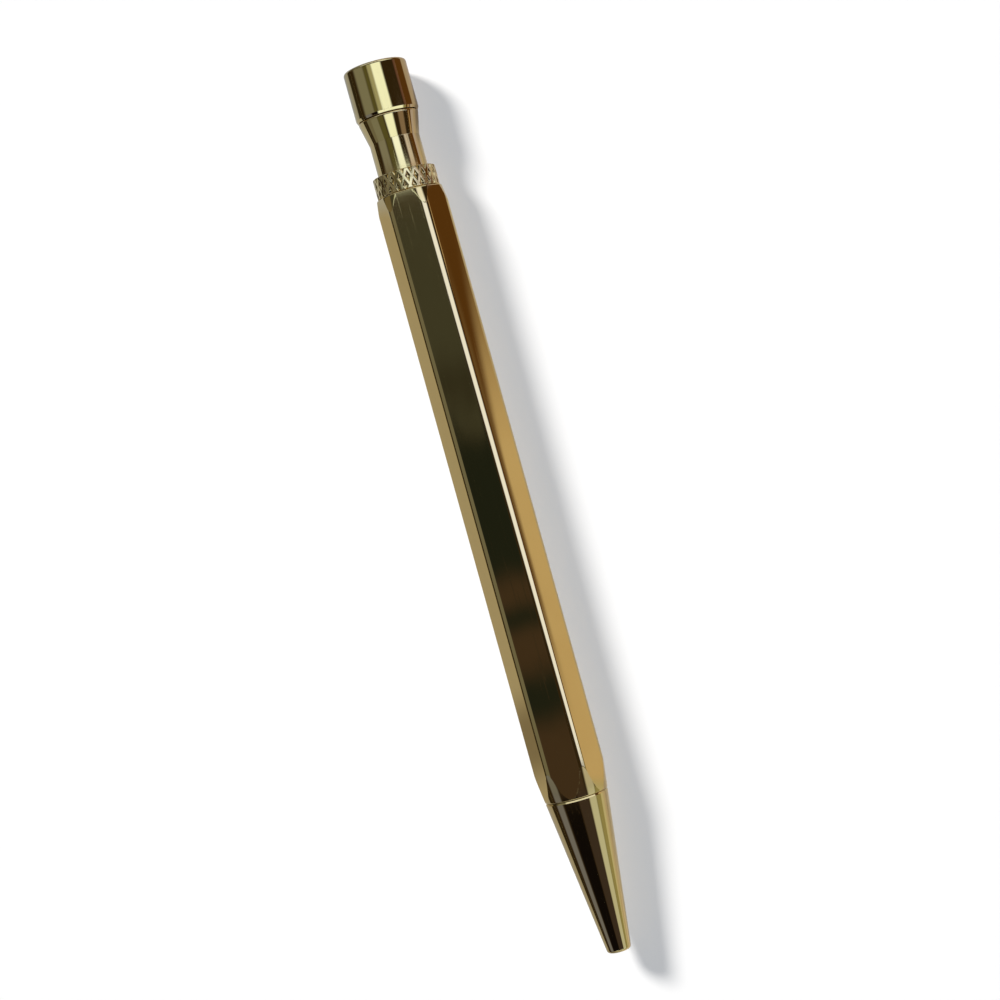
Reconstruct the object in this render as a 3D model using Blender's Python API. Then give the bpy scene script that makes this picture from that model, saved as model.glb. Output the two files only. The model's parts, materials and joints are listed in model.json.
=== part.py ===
"""Retractable ballpoint pen with a hexagonal gold-tone barrel, a knurled collar and a waisted push button.

The pen lies along X on the plane z = 0, on one flat of its barrel, with its writing end at +X. Nearly every piece is
turned, so it is drawn as an outline of (x, radius) points and spun about the pen's axis. The button is modelled out
and the writing tip drawn in. Lengths are in metres.
"""

import math

import bmesh
import bpy

# Lengths of what shows, from the button to the writing end
HEAD_LENGTH = 0.0077
WAIST_TAPER_LENGTH = 0.0037
NECK_SPARE = 0.00045
COLLAR_LENGTH = 0.0031
BARREL_LENGTH = 0.09265
NOSE_LENGTH = 0.0239

# Movements
PRESS_TRAVEL = 0.0045
LATCH_TRAVEL = 0.0037
BALL_SET_BACK = 0.0010

# Barrel tube
ACROSS_FLATS = 0.0096
EDGE_RADIUS = 0.0011
BARREL_BORE = 0.0085
REAR_DIAMETER = 0.00996
REAR_TAPER_LENGTH = 0.0075
FRONT_DIAMETER = 0.00955
FRONT_TAPER_LENGTH = 0.0045

# Button
HEAD_DIAMETER = 0.00955
HEAD_EDGE = 0.0003
HEAD_PEG_DIAMETER = 0.0048
HEAD_PEG_LENGTH = 0.0050
WAIST_DIAMETER = 0.0092
NECK_DIAMETER = 0.0076
NECK_HIDDEN = 0.0010
STEM_DIAMETER = 0.0054

# Knurled collar and the bush in it
COLLAR_DIAMETER = 0.0095
KNURL_DEPTH = 0.0002
KNURL_COUNT = 24
KNURL_BANDS = 3
BUSH_LENGTH = 0.0024
BUSH_WALL = 0.0006
BUSH_FLANGE_THICKNESS = 0.0006
BUSH_FLANGE_OVERHANG = 0.0006

# Click mechanism
CAM_COUNT = 4
TAIL_DIAMETER = 0.0039
TAIL_LENGTH = 0.0045
RIB_DIAMETER = 0.0067
RIB_LENGTH = 0.0036
RIB_DEGREES = 40.0
GROOVE_DEGREES = 44.0
TOOTH_COUNT = 8
TOOTH_HEIGHT = 0.0007
FIN_LENGTH = 0.0046
FIN_DEGREES = 20.0
FIN_SLANT = 0.0006
FIN_OFFSET_DEGREES = 11.0
ROTOR_CORE_DIAMETER = 0.0038
ROTOR_PILOT_DIAMETER = 0.0024
ROTOR_PILOT_LENGTH = 0.0024
ROTOR_HEAD_LENGTH = 0.0024
SEAT_RING_LENGTH = 0.0030

# Nose cone, its thread bush and its seal
NOSE_TIP_DIAMETER = 0.0036
NOSE_EDGE = 0.0002
SPIGOT_DIAMETER = 0.0071
SPIGOT_LENGTH = 0.0085
THREAD_BUSH_LENGTH = 0.0080
SEAL_WIDTH = 0.0008
SEAL_CORNER = 0.0002
SPRING_SEAT_DEPTH = 0.0106

# Return spring
SPRING_DIAMETER = 0.0044
WIRE_DIAMETER = 0.0004
SPRING_TURNS = 8
POINTS_PER_TURN = 10

# Refill
BALL_DIAMETER = 0.0010
BALL_SHOWING = 0.00035
TIP_DIAMETER = 0.0023
TIP_LENGTH = 0.0100
TIP_CONE_LENGTH = 0.0024
TIP_RIM = 0.00012
TIP_SHANK_DIAMETER = 0.0018
TIP_SHANK_LENGTH = 0.0030
INK_CHANNEL = 0.0007
REFILL_NECK_DIAMETER = 0.0030
REFILL_SHOULDER = 0.0190
REFILL_DIAMETER = 0.0059
REFILL_WALL = 0.0003
NECK_FLANGE = 0.0006
NECK_PLUG_LENGTH = 0.0034
CROWN_RIM_LENGTH = 0.0020
CROWN_PLUG_LENGTH = 0.0050
CROWN_BORE = 0.0016
CROWN_NOTCH = 0.0006
INK_LENGTH = 0.0520
GREASE_LENGTH = 0.0040

# Clearances: a fixed fit, a running fit, a loose running fit, two faces that seat, and the end of a travel
FIT_GAP = 0.00004
RUN_GAP = 0.00007
LOOSE_GAP = 0.00015
FACE_GAP = 0.00005
END_GAP = 0.0003

# Facets
SIDES = 32
SMALL_SIDES = 16
BARREL_SIDES = 48
ARC_STEPS = 4

# Colours, roughness and metallic values
GOLD = ((0.72, 0.52, 0.24), 0.12, 1.0)
BRASS = ((0.66, 0.50, 0.27), 0.30, 1.0)
STEEL = ((0.62, 0.62, 0.60), 0.25, 1.0)
CARBIDE = ((0.35, 0.35, 0.37), 0.15, 1.0)
WHITE_PLASTIC = ((0.80, 0.80, 0.76), 0.45, 0.0)
GREY_PLASTIC = ((0.30, 0.31, 0.32), 0.45, 0.0)
BLACK_PLASTIC = ((0.03, 0.03, 0.03), 0.40, 0.0)
BLACK_RUBBER = ((0.02, 0.02, 0.02), 0.70, 0.0)
BLUE_INK = ((0.01, 0.02, 0.12), 0.20, 0.0)
CLEAR_GREASE = ((0.60, 0.58, 0.48), 0.30, 0.0)

# Places along the axis of what shows
neck_length = PRESS_TRAVEL + NECK_SPARE
overall_length = (
    HEAD_LENGTH + WAIST_TAPER_LENGTH + neck_length + COLLAR_LENGTH + BARREL_LENGTH + NOSE_LENGTH
)
head_rear = -overall_length / 2
head_front = head_rear + HEAD_LENGTH
taper_front = head_front + WAIST_TAPER_LENGTH
collar_rear = taper_front + neck_length
barrel_rear = collar_rear + COLLAR_LENGTH
barrel_front = barrel_rear + BARREL_LENGTH
nose_front = barrel_front + NOSE_LENGTH
axis_height = max(ACROSS_FLATS, HEAD_DIAMETER, COLLAR_DIAMETER) / 2

# Places of the collar's bores and of the click mechanism
neck_end = collar_rear + NECK_HIDDEN
neck_bore_end = neck_end + PRESS_TRAVEL + END_GAP
collar_front = neck_bore_end + BUSH_LENGTH
flange_front = collar_front + FACE_GAP + BUSH_FLANGE_THICKNESS
sleeve_rear = flange_front + FACE_GAP
stem_front = sleeve_rear - END_GAP
tail_rear = stem_front - TAIL_LENGTH
rib_rear = sleeve_rear + FACE_GAP
tooth_root = rib_rear + RIB_LENGTH
tooth_tip = tooth_root + TOOTH_HEIGHT
fin_rear = tooth_tip + FACE_GAP
fin_front = fin_rear + FIN_LENGTH
land_front = fin_rear + LATCH_TRAVEL
rotor_front = fin_front + ROTOR_HEAD_LENGTH
sleeve_front = fin_front + PRESS_TRAVEL + END_GAP
seat_ring_rear = sleeve_front + FACE_GAP

# Places of the refill, counted back from the ball
ball_front = nose_front - BALL_SET_BACK
tip_rim = ball_front - BALL_SHOWING
tip_rear = ball_front - TIP_LENGTH
shoulder = ball_front - REFILL_SHOULDER
tube_front = shoulder - NECK_FLANGE - FACE_GAP
crown_rear = rotor_front + FACE_GAP
tube_rear = crown_rear + CROWN_RIM_LENGTH + FACE_GAP
neck_plug_rear = tube_front - NECK_PLUG_LENGTH
ink_rear = neck_plug_rear - FACE_GAP - INK_LENGTH

# Places in the nose cone and behind it
neck_bore_front = tip_rear + PRESS_TRAVEL + END_GAP
tube_bore_front = shoulder + PRESS_TRAVEL + END_GAP
spring_seat = nose_front - SPRING_SEAT_DEPTH
seal_rear = barrel_front - FACE_GAP - SEAL_WIDTH
thread_bush_front = seal_rear - FACE_GAP
nose_rim = barrel_front + FACE_GAP

# Radii that fit one piece to another
insert_radius = BARREL_BORE / 2 - FIT_GAP
neck_bore_radius = NECK_DIAMETER / 2 + RUN_GAP
bush_bore_radius = STEM_DIAMETER / 2 + RUN_GAP
bush_radius = bush_bore_radius + BUSH_WALL
flange_radius = bush_radius + BUSH_FLANGE_OVERHANG
land_radius = STEM_DIAMETER / 2 + LOOSE_GAP
groove_radius = RIB_DIAMETER / 2 + LOOSE_GAP
tube_bore_radius = REFILL_DIAMETER / 2 - REFILL_WALL
guide_radius = REFILL_DIAMETER / 2 + LOOSE_GAP
tip_bore_radius = TIP_DIAMETER / 2 + LOOSE_GAP
refill_neck_bore_radius = REFILL_NECK_DIAMETER / 2 + LOOSE_GAP
spring_bore_radius = SPRING_DIAMETER / 2 + LOOSE_GAP


def clear_scene():
    """Remove every object of the scene."""
    for obj in list(bpy.data.objects):
        bpy.data.objects.remove(obj, do_unlink=True)


def make_material(name, finish):
    """Make a Principled material from a (colour, roughness, metallic) finish."""
    colour, roughness, metallic = finish
    material = bpy.data.materials.new(name)
    material.use_nodes = True
    shader = material.node_tree.nodes["Principled BSDF"]
    shader.inputs["Base Color"].default_value = (*colour, 1.0)
    shader.inputs["Roughness"].default_value = roughness
    shader.inputs["Metallic"].default_value = metallic
    return material


def add_object(name, data, finish, axis, origin_x):
    """Put mesh or curve data on the pen's axis as a named piece with its own material."""
    obj = bpy.data.objects.new(name, data)
    bpy.context.scene.collection.objects.link(obj)
    obj.parent = axis
    obj.location.x = origin_x
    data.materials.append(make_material(name + "_finish", finish))
    return obj


def mesh_from(bm, name):
    """Close a bmesh into a smooth-shaded mesh with its faces pointing out."""
    bmesh.ops.remove_doubles(bm, verts=bm.verts, dist=1e-7)
    bmesh.ops.recalc_face_normals(bm, faces=bm.faces)
    mesh = bpy.data.meshes.new(name)
    bm.to_mesh(mesh)
    bm.free()
    mesh.shade_smooth()
    mesh.set_sharp_from_angle(angle=math.radians(30))
    return mesh


def spin_outline(outline, origin_x, sides, closed):
    """Spin an outline of (x, radius) points about the axis. An open outline starts and ends on the axis."""
    bm = bmesh.new()
    points = [bm.verts.new((x - origin_x, 0.0, radius)) for x, radius in outline]
    for first, second in zip(points, points[1:]):
        bm.edges.new((first, second))
    if closed:
        bm.edges.new((points[-1], points[0]))
    bmesh.ops.spin(
        bm, geom=bm.verts[:] + bm.edges[:], axis=(1, 0, 0), cent=(0, 0, 0), angle=math.tau, steps=sides,
        use_merge=True,
    )
    bmesh.ops.remove_doubles(bm, verts=bm.verts, dist=1e-7)
    return bm


def turn_piece(name, outline, finish, axis, sides=SIDES, closed=True):
    """Make a turned piece whose origin is on the axis, at the first point of its outline."""
    origin_x = outline[0][0]
    mesh = mesh_from(spin_outline(outline, origin_x, sides, closed), name)
    return add_object(name, mesh, finish, axis, origin_x)


def column_of(vertex, columns):
    """Number a vertex by its angle about the axis."""
    angle = math.atan2(vertex.co.y, vertex.co.z)
    return round(angle / math.tau * columns) % columns


def set_radius(vertex, radius):
    """Move a vertex to a new distance from the axis."""
    scale = radius / math.hypot(vertex.co.y, vertex.co.z)
    vertex.co.y *= scale
    vertex.co.z *= scale


def add_sectors(bm, centre_degrees, width_degrees, inner, outer, rear, front, slant):
    """Add one solid ring sector for each cam. Its rear end slants by the given length across its width."""
    for cam in range(CAM_COUNT):
        start = math.radians(360.0 * cam / CAM_COUNT + centre_degrees - width_degrees / 2)
        rings = []
        for step in range(ARC_STEPS + 1):
            share = step / ARC_STEPS
            angle = start + math.radians(width_degrees) * share
            corners = [(rear + slant * share, inner), (rear + slant * share, outer), (front, outer), (front, inner)]
            rings.append([bm.verts.new((x, r * math.cos(angle), r * math.sin(angle))) for x, r in corners])
        for ring, after in zip(rings, rings[1:]):
            for corner in range(4):
                following = (corner + 1) % 4
                bm.faces.new((ring[corner], ring[following], after[following], after[corner]))
        bm.faces.new(rings[0])
        bm.faces.new(rings[-1])


def add_helper(name, bm, axis):
    """Keep a shape that only cuts or joins another piece."""
    helper = bpy.data.objects.new(name, mesh_from(bm, name))
    bpy.context.scene.collection.objects.link(helper)
    helper.parent = axis
    helper.hide_render = True
    helper.display_type = "WIRE"
    return helper


def combine(obj, helper, operation):
    """Cut or join a helper shape with an exact Boolean."""
    modifier = obj.modifiers.new(helper.name, "BOOLEAN")
    modifier.operation = operation
    modifier.solver = "EXACT"
    modifier.object = helper


def hexagon_points():
    """Outline of the barrel's hexagon in (y, z), with rounded edges and flats facing up and down."""
    reach = ACROSS_FLATS / math.sqrt(3) - EDGE_RADIUS * 2 / math.sqrt(3)
    points = []
    for corner in range(6):
        middle = math.radians(60.0 * corner)
        for step in range(ARC_STEPS + 1):
            angle = middle + math.radians(60.0 * step / ARC_STEPS - 30.0)
            points.append(
                (
                    reach * math.cos(middle) + EDGE_RADIUS * math.cos(angle),
                    reach * math.sin(middle) + EDGE_RADIUS * math.sin(angle),
                )
            )
    return points


def build_barrel(axis):
    """Hexagonal tube, turned down a little at its rear end and to a round rim at its front end."""
    bm = bmesh.new()
    face = bm.faces.new([bm.verts.new((-END_GAP, y, z)) for y, z in hexagon_points()])
    grown = bmesh.ops.extrude_face_region(bm, geom=[face])["geom"]
    moved = [item for item in grown if isinstance(item, bmesh.types.BMVert)]
    bmesh.ops.translate(bm, verts=moved, vec=(BARREL_LENGTH + 2 * END_GAP, 0, 0))
    barrel = add_object("barrel", mesh_from(bm, "barrel"), GOLD, axis, barrel_rear)

    corner_reach = max(math.hypot(y, z) for y, z in hexagon_points())
    blank_radius = corner_reach / math.cos(math.pi / BARREL_SIDES) + END_GAP
    rear_taper = (corner_reach - REAR_DIAMETER / 2) / REAR_TAPER_LENGTH
    rear_run = (blank_radius - REAR_DIAMETER / 2) / rear_taper
    front_taper = (corner_reach - FRONT_DIAMETER / 2) / FRONT_TAPER_LENGTH
    front_run = (blank_radius - FRONT_DIAMETER / 2) / front_taper
    blank = spin_outline(
        [
            (barrel_rear, BARREL_BORE / 2),
            (barrel_rear, REAR_DIAMETER / 2),
            (barrel_rear + rear_run, blank_radius),
            (barrel_front - front_run, blank_radius),
            (barrel_front, FRONT_DIAMETER / 2),
            (barrel_front, BARREL_BORE / 2),
        ],
        0.0,
        BARREL_SIDES,
        True,
    )
    combine(barrel, add_helper("barrel_blank", blank, axis), "INTERSECT")


def build_collar(axis):
    """Collar with a diamond knurl: crossing grooves leave rows of small pyramids."""
    columns = 2 * KNURL_COUNT
    root = COLLAR_DIAMETER / 2 - KNURL_DEPTH
    band = COLLAR_LENGTH / KNURL_BANDS
    rows = [(collar_rear + band * row, root) for row in range(KNURL_BANDS)]
    rows.append((barrel_rear - FACE_GAP, root))
    outline = rows + [
        (barrel_rear - FACE_GAP, insert_radius),
        (collar_front, insert_radius),
        (collar_front, bush_radius + FIT_GAP),
        (neck_bore_end, bush_radius + FIT_GAP),
        (neck_bore_end, neck_bore_radius),
        (collar_rear, neck_bore_radius),
    ]
    bm = spin_outline(outline, collar_rear, columns, True)
    middle = (root + insert_radius) / 2
    raised = set()
    for vertex in bm.verts:
        row = round(vertex.co.x / band)
        on_surface = math.hypot(vertex.co.y, vertex.co.z) > middle
        if on_surface and 0 < row < KNURL_BANDS and (row + column_of(vertex, columns)) % 2:
            set_radius(vertex, COLLAR_DIAMETER / 2)
            raised.add(vertex)
    for face in list(bm.faces):
        peaks = [vertex for vertex in face.verts if vertex in raised]
        if peaks:
            beside = [edge.other_vert(peaks[0]) for edge in peaks[0].link_edges if edge in face.edges[:]]
            bmesh.utils.face_split(face, *beside)
    add_object("knurled_collar", mesh_from(bm, "knurled_collar"), GOLD, axis, collar_rear)


def build_bushes(axis):
    """The fixed rings inside the barrel: guide bush, seat ring, thread bush and seal."""
    turn_piece(
        "guide_bush",
        [
            (neck_bore_end, bush_radius),
            (collar_front + FACE_GAP, bush_radius),
            (collar_front + FACE_GAP, flange_radius),
            (flange_front, flange_radius),
            (flange_front, bush_bore_radius),
            (neck_bore_end, bush_bore_radius),
        ],
        WHITE_PLASTIC,
        axis,
    )
    seat_ring_front = seat_ring_rear + SEAT_RING_LENGTH
    turn_piece(
        "seat_ring",
        [
            (seat_ring_rear, insert_radius),
            (seat_ring_front, insert_radius),
            (seat_ring_front, groove_radius),
            (seat_ring_rear, groove_radius),
        ],
        BRASS,
        axis,
    )
    thread_bush_rear = thread_bush_front - THREAD_BUSH_LENGTH
    thread_radius = SPIGOT_DIAMETER / 2 + FIT_GAP
    turn_piece(
        "front_thread_bush",
        [
            (thread_bush_rear, insert_radius),
            (thread_bush_front, insert_radius),
            (thread_bush_front, thread_radius),
            (thread_bush_rear, thread_radius),
        ],
        BRASS,
        axis,
    )
    seal_front = seal_rear + SEAL_WIDTH
    turn_piece(
        "nose_seal_ring",
        [
            (seal_rear, insert_radius - SEAL_CORNER),
            (seal_rear + SEAL_CORNER, insert_radius),
            (seal_front - SEAL_CORNER, insert_radius),
            (seal_front, insert_radius - SEAL_CORNER),
            (seal_front, thread_radius),
            (seal_rear, thread_radius),
        ],
        BLACK_RUBBER,
        axis,
    )


def build_nose(axis):
    """Nose cone with its threaded spigot, stepped inside for the refill, the spring and the writing tip."""
    slope = (FRONT_DIAMETER - NOSE_TIP_DIAMETER) / 2 / NOSE_LENGTH
    edge_radius = NOSE_TIP_DIAMETER / 2 + slope * NOSE_EDGE
    spigot_rear = barrel_front - SPIGOT_LENGTH
    turn_piece(
        "nose_cone",
        [
            (nose_rim, FRONT_DIAMETER / 2),
            (nose_front - NOSE_EDGE, edge_radius),
            (nose_front, edge_radius - NOSE_EDGE),
            (nose_front, tip_bore_radius),
            (neck_bore_front, tip_bore_radius),
            (neck_bore_front, refill_neck_bore_radius),
            (spring_seat, refill_neck_bore_radius),
            (spring_seat, spring_bore_radius),
            (tube_bore_front, spring_bore_radius),
            (tube_bore_front, guide_radius),
            (spigot_rear, guide_radius),
            (spigot_rear, SPIGOT_DIAMETER / 2),
            (nose_rim, SPIGOT_DIAMETER / 2),
        ],
        GOLD,
        axis,
    )


def build_button(axis):
    """Head, waisted stem and the thrust cam that the stem drives."""
    peg_front = head_front + HEAD_PEG_LENGTH
    turn_piece(
        "button_head",
        [
            (head_rear, 0.0),
            (head_rear, HEAD_DIAMETER / 2 - HEAD_EDGE),
            (head_rear + HEAD_EDGE, HEAD_DIAMETER / 2),
            (head_front, HEAD_DIAMETER / 2),
            (head_front, HEAD_PEG_DIAMETER / 2),
            (peg_front, HEAD_PEG_DIAMETER / 2),
            (peg_front, 0.0),
        ],
        GOLD,
        axis,
        closed=False,
    )
    peg_bore_radius = HEAD_PEG_DIAMETER / 2 + FIT_GAP
    tail_bore_radius = TAIL_DIAMETER / 2 + FIT_GAP
    turn_piece(
        "button_stem",
        [
            (peg_front + FACE_GAP, 0.0),
            (peg_front + FACE_GAP, peg_bore_radius),
            (head_front + FACE_GAP, peg_bore_radius),
            (head_front + FACE_GAP, WAIST_DIAMETER / 2),
            (taper_front, NECK_DIAMETER / 2),
            (neck_end, NECK_DIAMETER / 2),
            (neck_end, STEM_DIAMETER / 2),
            (stem_front, STEM_DIAMETER / 2),
            (stem_front, tail_bore_radius),
            (tail_rear - FACE_GAP, tail_bore_radius),
            (tail_rear - FACE_GAP, 0.0),
        ],
        GOLD,
        axis,
        closed=False,
    )


def build_cams(axis):
    """Fixed sleeve with grooves between lands, thrust cam with ribs and teeth, and rotor with slanted fins."""
    sleeve = turn_piece(
        "cam_sleeve",
        [
            (sleeve_rear, insert_radius),
            (sleeve_front, insert_radius),
            (sleeve_front, groove_radius + FIT_GAP),
            (land_front, groove_radius + FIT_GAP),
            (land_front, land_radius),
            (sleeve_rear, land_radius),
        ],
        BLACK_PLASTIC,
        axis,
    )
    grooves = bmesh.new()
    add_sectors(
        grooves, 0.0, GROOVE_DEGREES, land_radius / 2, groove_radius,
        sleeve_rear - END_GAP, land_front + END_GAP, 0.0,
    )
    combine(sleeve, add_helper("cam_sleeve_grooves", grooves, axis), "DIFFERENCE")

    pilot_bore_end = fin_rear - ROTOR_PILOT_LENGTH - END_GAP
    pilot_bore_radius = ROTOR_PILOT_DIAMETER / 2 + LOOSE_GAP
    outline = [
        (tail_rear, 0.0),
        (tail_rear, TAIL_DIAMETER / 2),
        (stem_front + FACE_GAP, TAIL_DIAMETER / 2),
        (stem_front + FACE_GAP, STEM_DIAMETER / 2),
        (tooth_root, STEM_DIAMETER / 2),
        (tooth_root, pilot_bore_radius),
        (pilot_bore_end, pilot_bore_radius),
        (pilot_bore_end, 0.0),
    ]
    bm = spin_outline(outline, tail_rear, SIDES, False)
    for vertex in bm.verts:
        if vertex.co.x > tooth_root - tail_rear - FACE_GAP / 2:
            phase = column_of(vertex, SIDES) * TOOTH_COUNT / SIDES % 1.0
            vertex.co.x += TOOTH_HEIGHT * (1.0 - abs(2.0 * phase - 1.0))
    thrust = add_object("thrust_cam", mesh_from(bm, "thrust_cam"), WHITE_PLASTIC, axis, tail_rear)
    ribs = bmesh.new()
    add_sectors(
        ribs, 0.0, RIB_DEGREES, (pilot_bore_radius + STEM_DIAMETER / 2) / 2, RIB_DIAMETER / 2,
        rib_rear, tooth_root - FACE_GAP, 0.0,
    )
    combine(thrust, add_helper("thrust_cam_ribs", ribs, axis), "UNION")

    pilot_rear = fin_rear - ROTOR_PILOT_LENGTH
    rotor = turn_piece(
        "rotor_cam",
        [
            (pilot_rear, 0.0),
            (pilot_rear, ROTOR_PILOT_DIAMETER / 2),
            (fin_rear, ROTOR_PILOT_DIAMETER / 2),
            (fin_rear, ROTOR_CORE_DIAMETER / 2),
            (fin_front - FIN_SLANT, ROTOR_CORE_DIAMETER / 2),
            (fin_front - FIN_SLANT, STEM_DIAMETER / 2),
            (rotor_front, STEM_DIAMETER / 2),
            (rotor_front, 0.0),
        ],
        GREY_PLASTIC,
        axis,
        closed=False,
    )
    fins = bmesh.new()
    add_sectors(
        fins, -FIN_OFFSET_DEGREES, FIN_DEGREES, ROTOR_CORE_DIAMETER / 4, RIB_DIAMETER / 2,
        fin_rear + FACE_GAP, fin_front, FIN_SLANT,
    )
    combine(rotor, add_helper("rotor_cam_fins", fins, axis), "UNION")


def build_refill(axis):
    """Ink tube with its crown, neck, tip, ball, ink and grease."""
    turn_piece(
        "refill_tube",
        [
            (tube_rear, REFILL_DIAMETER / 2),
            (tube_front, REFILL_DIAMETER / 2),
            (tube_front, tube_bore_radius),
            (tube_rear, tube_bore_radius),
        ],
        STEEL,
        axis,
    )
    plug_radius = tube_bore_radius - FIT_GAP
    crown_front = tube_rear + CROWN_PLUG_LENGTH
    outline = [
        (crown_rear, REFILL_DIAMETER / 2),
        (tube_rear - FACE_GAP, REFILL_DIAMETER / 2),
        (tube_rear - FACE_GAP, plug_radius),
        (crown_front, plug_radius),
        (crown_front, CROWN_BORE / 2),
        (crown_rear, CROWN_BORE / 2),
    ]
    bm = spin_outline(outline, crown_rear, SIDES, True)
    for vertex in bm.verts:
        if vertex.co.x < FACE_GAP / 2 and column_of(vertex, SIDES) % 4 < 2:
            vertex.co.x += CROWN_NOTCH
    add_object("refill_crown", mesh_from(bm, "refill_crown"), BLACK_PLASTIC, axis, crown_rear)

    shank_rear = tip_rear - TIP_SHANK_LENGTH
    turn_piece(
        "refill_neck",
        [
            (neck_plug_rear, plug_radius),
            (tube_front + FACE_GAP, plug_radius),
            (tube_front + FACE_GAP, REFILL_DIAMETER / 2),
            (shoulder, REFILL_DIAMETER / 2),
            (shoulder, REFILL_NECK_DIAMETER / 2),
            (tip_rear, REFILL_NECK_DIAMETER / 2),
            (tip_rear, TIP_SHANK_DIAMETER / 2 + FIT_GAP),
            (shank_rear - FACE_GAP, TIP_SHANK_DIAMETER / 2 + FIT_GAP),
            (shank_rear - FACE_GAP, INK_CHANNEL / 2),
            (neck_plug_rear, INK_CHANNEL / 2),
        ],
        BRASS,
        axis,
    )
    socket_radius = BALL_DIAMETER / 2 + RUN_GAP
    socket_rear = ball_front - BALL_DIAMETER - RUN_GAP
    turn_piece(
        "refill_tip",
        [
            (tip_rear + FACE_GAP, TIP_DIAMETER / 2),
            (tip_rim - TIP_CONE_LENGTH, TIP_DIAMETER / 2),
            (tip_rim, socket_radius + TIP_RIM),
            (tip_rim, socket_radius),
            (socket_rear, socket_radius),
            (socket_rear, INK_CHANNEL / 2),
            (shank_rear, INK_CHANNEL / 2),
            (shank_rear, TIP_SHANK_DIAMETER / 2),
            (tip_rear + FACE_GAP, TIP_SHANK_DIAMETER / 2),
        ],
        STEEL,
        axis,
        sides=SMALL_SIDES,
    )
    bm = bmesh.new()
    bmesh.ops.create_uvsphere(bm, u_segments=SMALL_SIDES, v_segments=SMALL_SIDES // 2, radius=BALL_DIAMETER / 2)
    add_object("refill_ball", mesh_from(bm, "refill_ball"), CARBIDE, axis, ball_front - BALL_DIAMETER / 2)

    columns = [("refill_ink", ink_rear, INK_LENGTH, BLUE_INK)]
    grease_rear = ink_rear - FACE_GAP - GREASE_LENGTH
    columns.append(("refill_grease", grease_rear, GREASE_LENGTH, CLEAR_GREASE))
    for name, rear, length, finish in columns:
        outline = [(rear, 0.0), (rear, plug_radius), (rear + length, plug_radius), (rear + length, 0.0)]
        turn_piece(name, outline, finish, axis, closed=False)


def build_spring(axis):
    """Wire spring between the refill's shoulder and its seat in the nose cone."""
    wire_radius = WIRE_DIAMETER / 2
    start = shoulder + wire_radius + LOOSE_GAP
    end = spring_seat - wire_radius - LOOSE_GAP
    coil_radius = SPRING_DIAMETER / 2 - wire_radius
    steps = SPRING_TURNS * POINTS_PER_TURN
    points = []
    for step in range(steps + 1):
        angle = math.tau * step / POINTS_PER_TURN
        points.append(
            ((end - start) * step / steps, coil_radius * math.cos(angle), coil_radius * math.sin(angle))
        )
    curve = bpy.data.curves.new("return_spring", "CURVE")
    curve.dimensions = "3D"
    curve.bevel_depth = wire_radius
    curve.bevel_resolution = 1
    curve.use_fill_caps = True
    spline = curve.splines.new("POLY")
    spline.points.add(len(points) - 1)
    for place, point in zip(spline.points, points):
        place.co = (*point, 1.0)
    add_object("return_spring", curve, STEEL, axis, start)

    apart = POINTS_PER_TURN // 2
    gap = min(
        math.dist(points[first], points[second])
        for first in range(len(points))
        for second in range(first + apart, len(points))
    )
    print(f"return_spring: least gap to itself {(gap - WIRE_DIAMETER) * 1000:.2f} mm")


def main():
    clear_scene()
    axis = bpy.data.objects.new("pen_axis", None)
    axis.location.z = axis_height
    bpy.context.scene.collection.objects.link(axis)
    for build in (
        build_barrel, build_collar, build_bushes, build_nose, build_button, build_cams, build_refill, build_spring
    ):
        build(axis)
    print(f"overall length {overall_length * 1000:.1f} mm, refill {(ball_front - crown_rear) * 1000:.1f} mm")


main()
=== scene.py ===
"""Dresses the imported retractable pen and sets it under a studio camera.

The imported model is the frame. Each sub-assembly below builds finer meshes for
the pieces that show, gives them procedural finishes, and hands them to the
frame, so that every piece moves with its own body.
"""

import json
import logging
import math
from collections.abc import Callable, Iterable, Sequence
from dataclasses import dataclass
from enum import Enum
from typing import Any, Union

import bmesh
import bpy
from mathutils import Matrix, Vector

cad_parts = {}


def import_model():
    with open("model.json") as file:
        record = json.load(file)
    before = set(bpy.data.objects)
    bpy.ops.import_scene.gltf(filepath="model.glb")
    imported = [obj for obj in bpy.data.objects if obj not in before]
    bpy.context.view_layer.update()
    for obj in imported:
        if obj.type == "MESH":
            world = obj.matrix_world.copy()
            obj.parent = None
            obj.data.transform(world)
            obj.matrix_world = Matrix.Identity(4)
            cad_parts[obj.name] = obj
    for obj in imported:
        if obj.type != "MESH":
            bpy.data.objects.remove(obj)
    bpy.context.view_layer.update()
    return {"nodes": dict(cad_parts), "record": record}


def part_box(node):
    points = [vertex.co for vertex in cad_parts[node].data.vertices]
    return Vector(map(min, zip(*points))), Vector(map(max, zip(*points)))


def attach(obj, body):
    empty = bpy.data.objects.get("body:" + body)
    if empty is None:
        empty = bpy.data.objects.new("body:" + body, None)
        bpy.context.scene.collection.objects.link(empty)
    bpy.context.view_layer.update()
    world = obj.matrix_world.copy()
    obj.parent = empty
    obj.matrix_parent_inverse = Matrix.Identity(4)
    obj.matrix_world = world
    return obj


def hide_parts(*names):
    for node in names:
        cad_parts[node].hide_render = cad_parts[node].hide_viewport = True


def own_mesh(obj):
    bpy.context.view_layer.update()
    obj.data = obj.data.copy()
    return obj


LOG = logging.getLogger("pen_scene")

MM = 0.001
AXIS_HEIGHT = 4.8 * MM

Colour = tuple[float, float, float]
Point = tuple[float, float]
Operand = Union["Value", float]


# Node graphs


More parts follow.
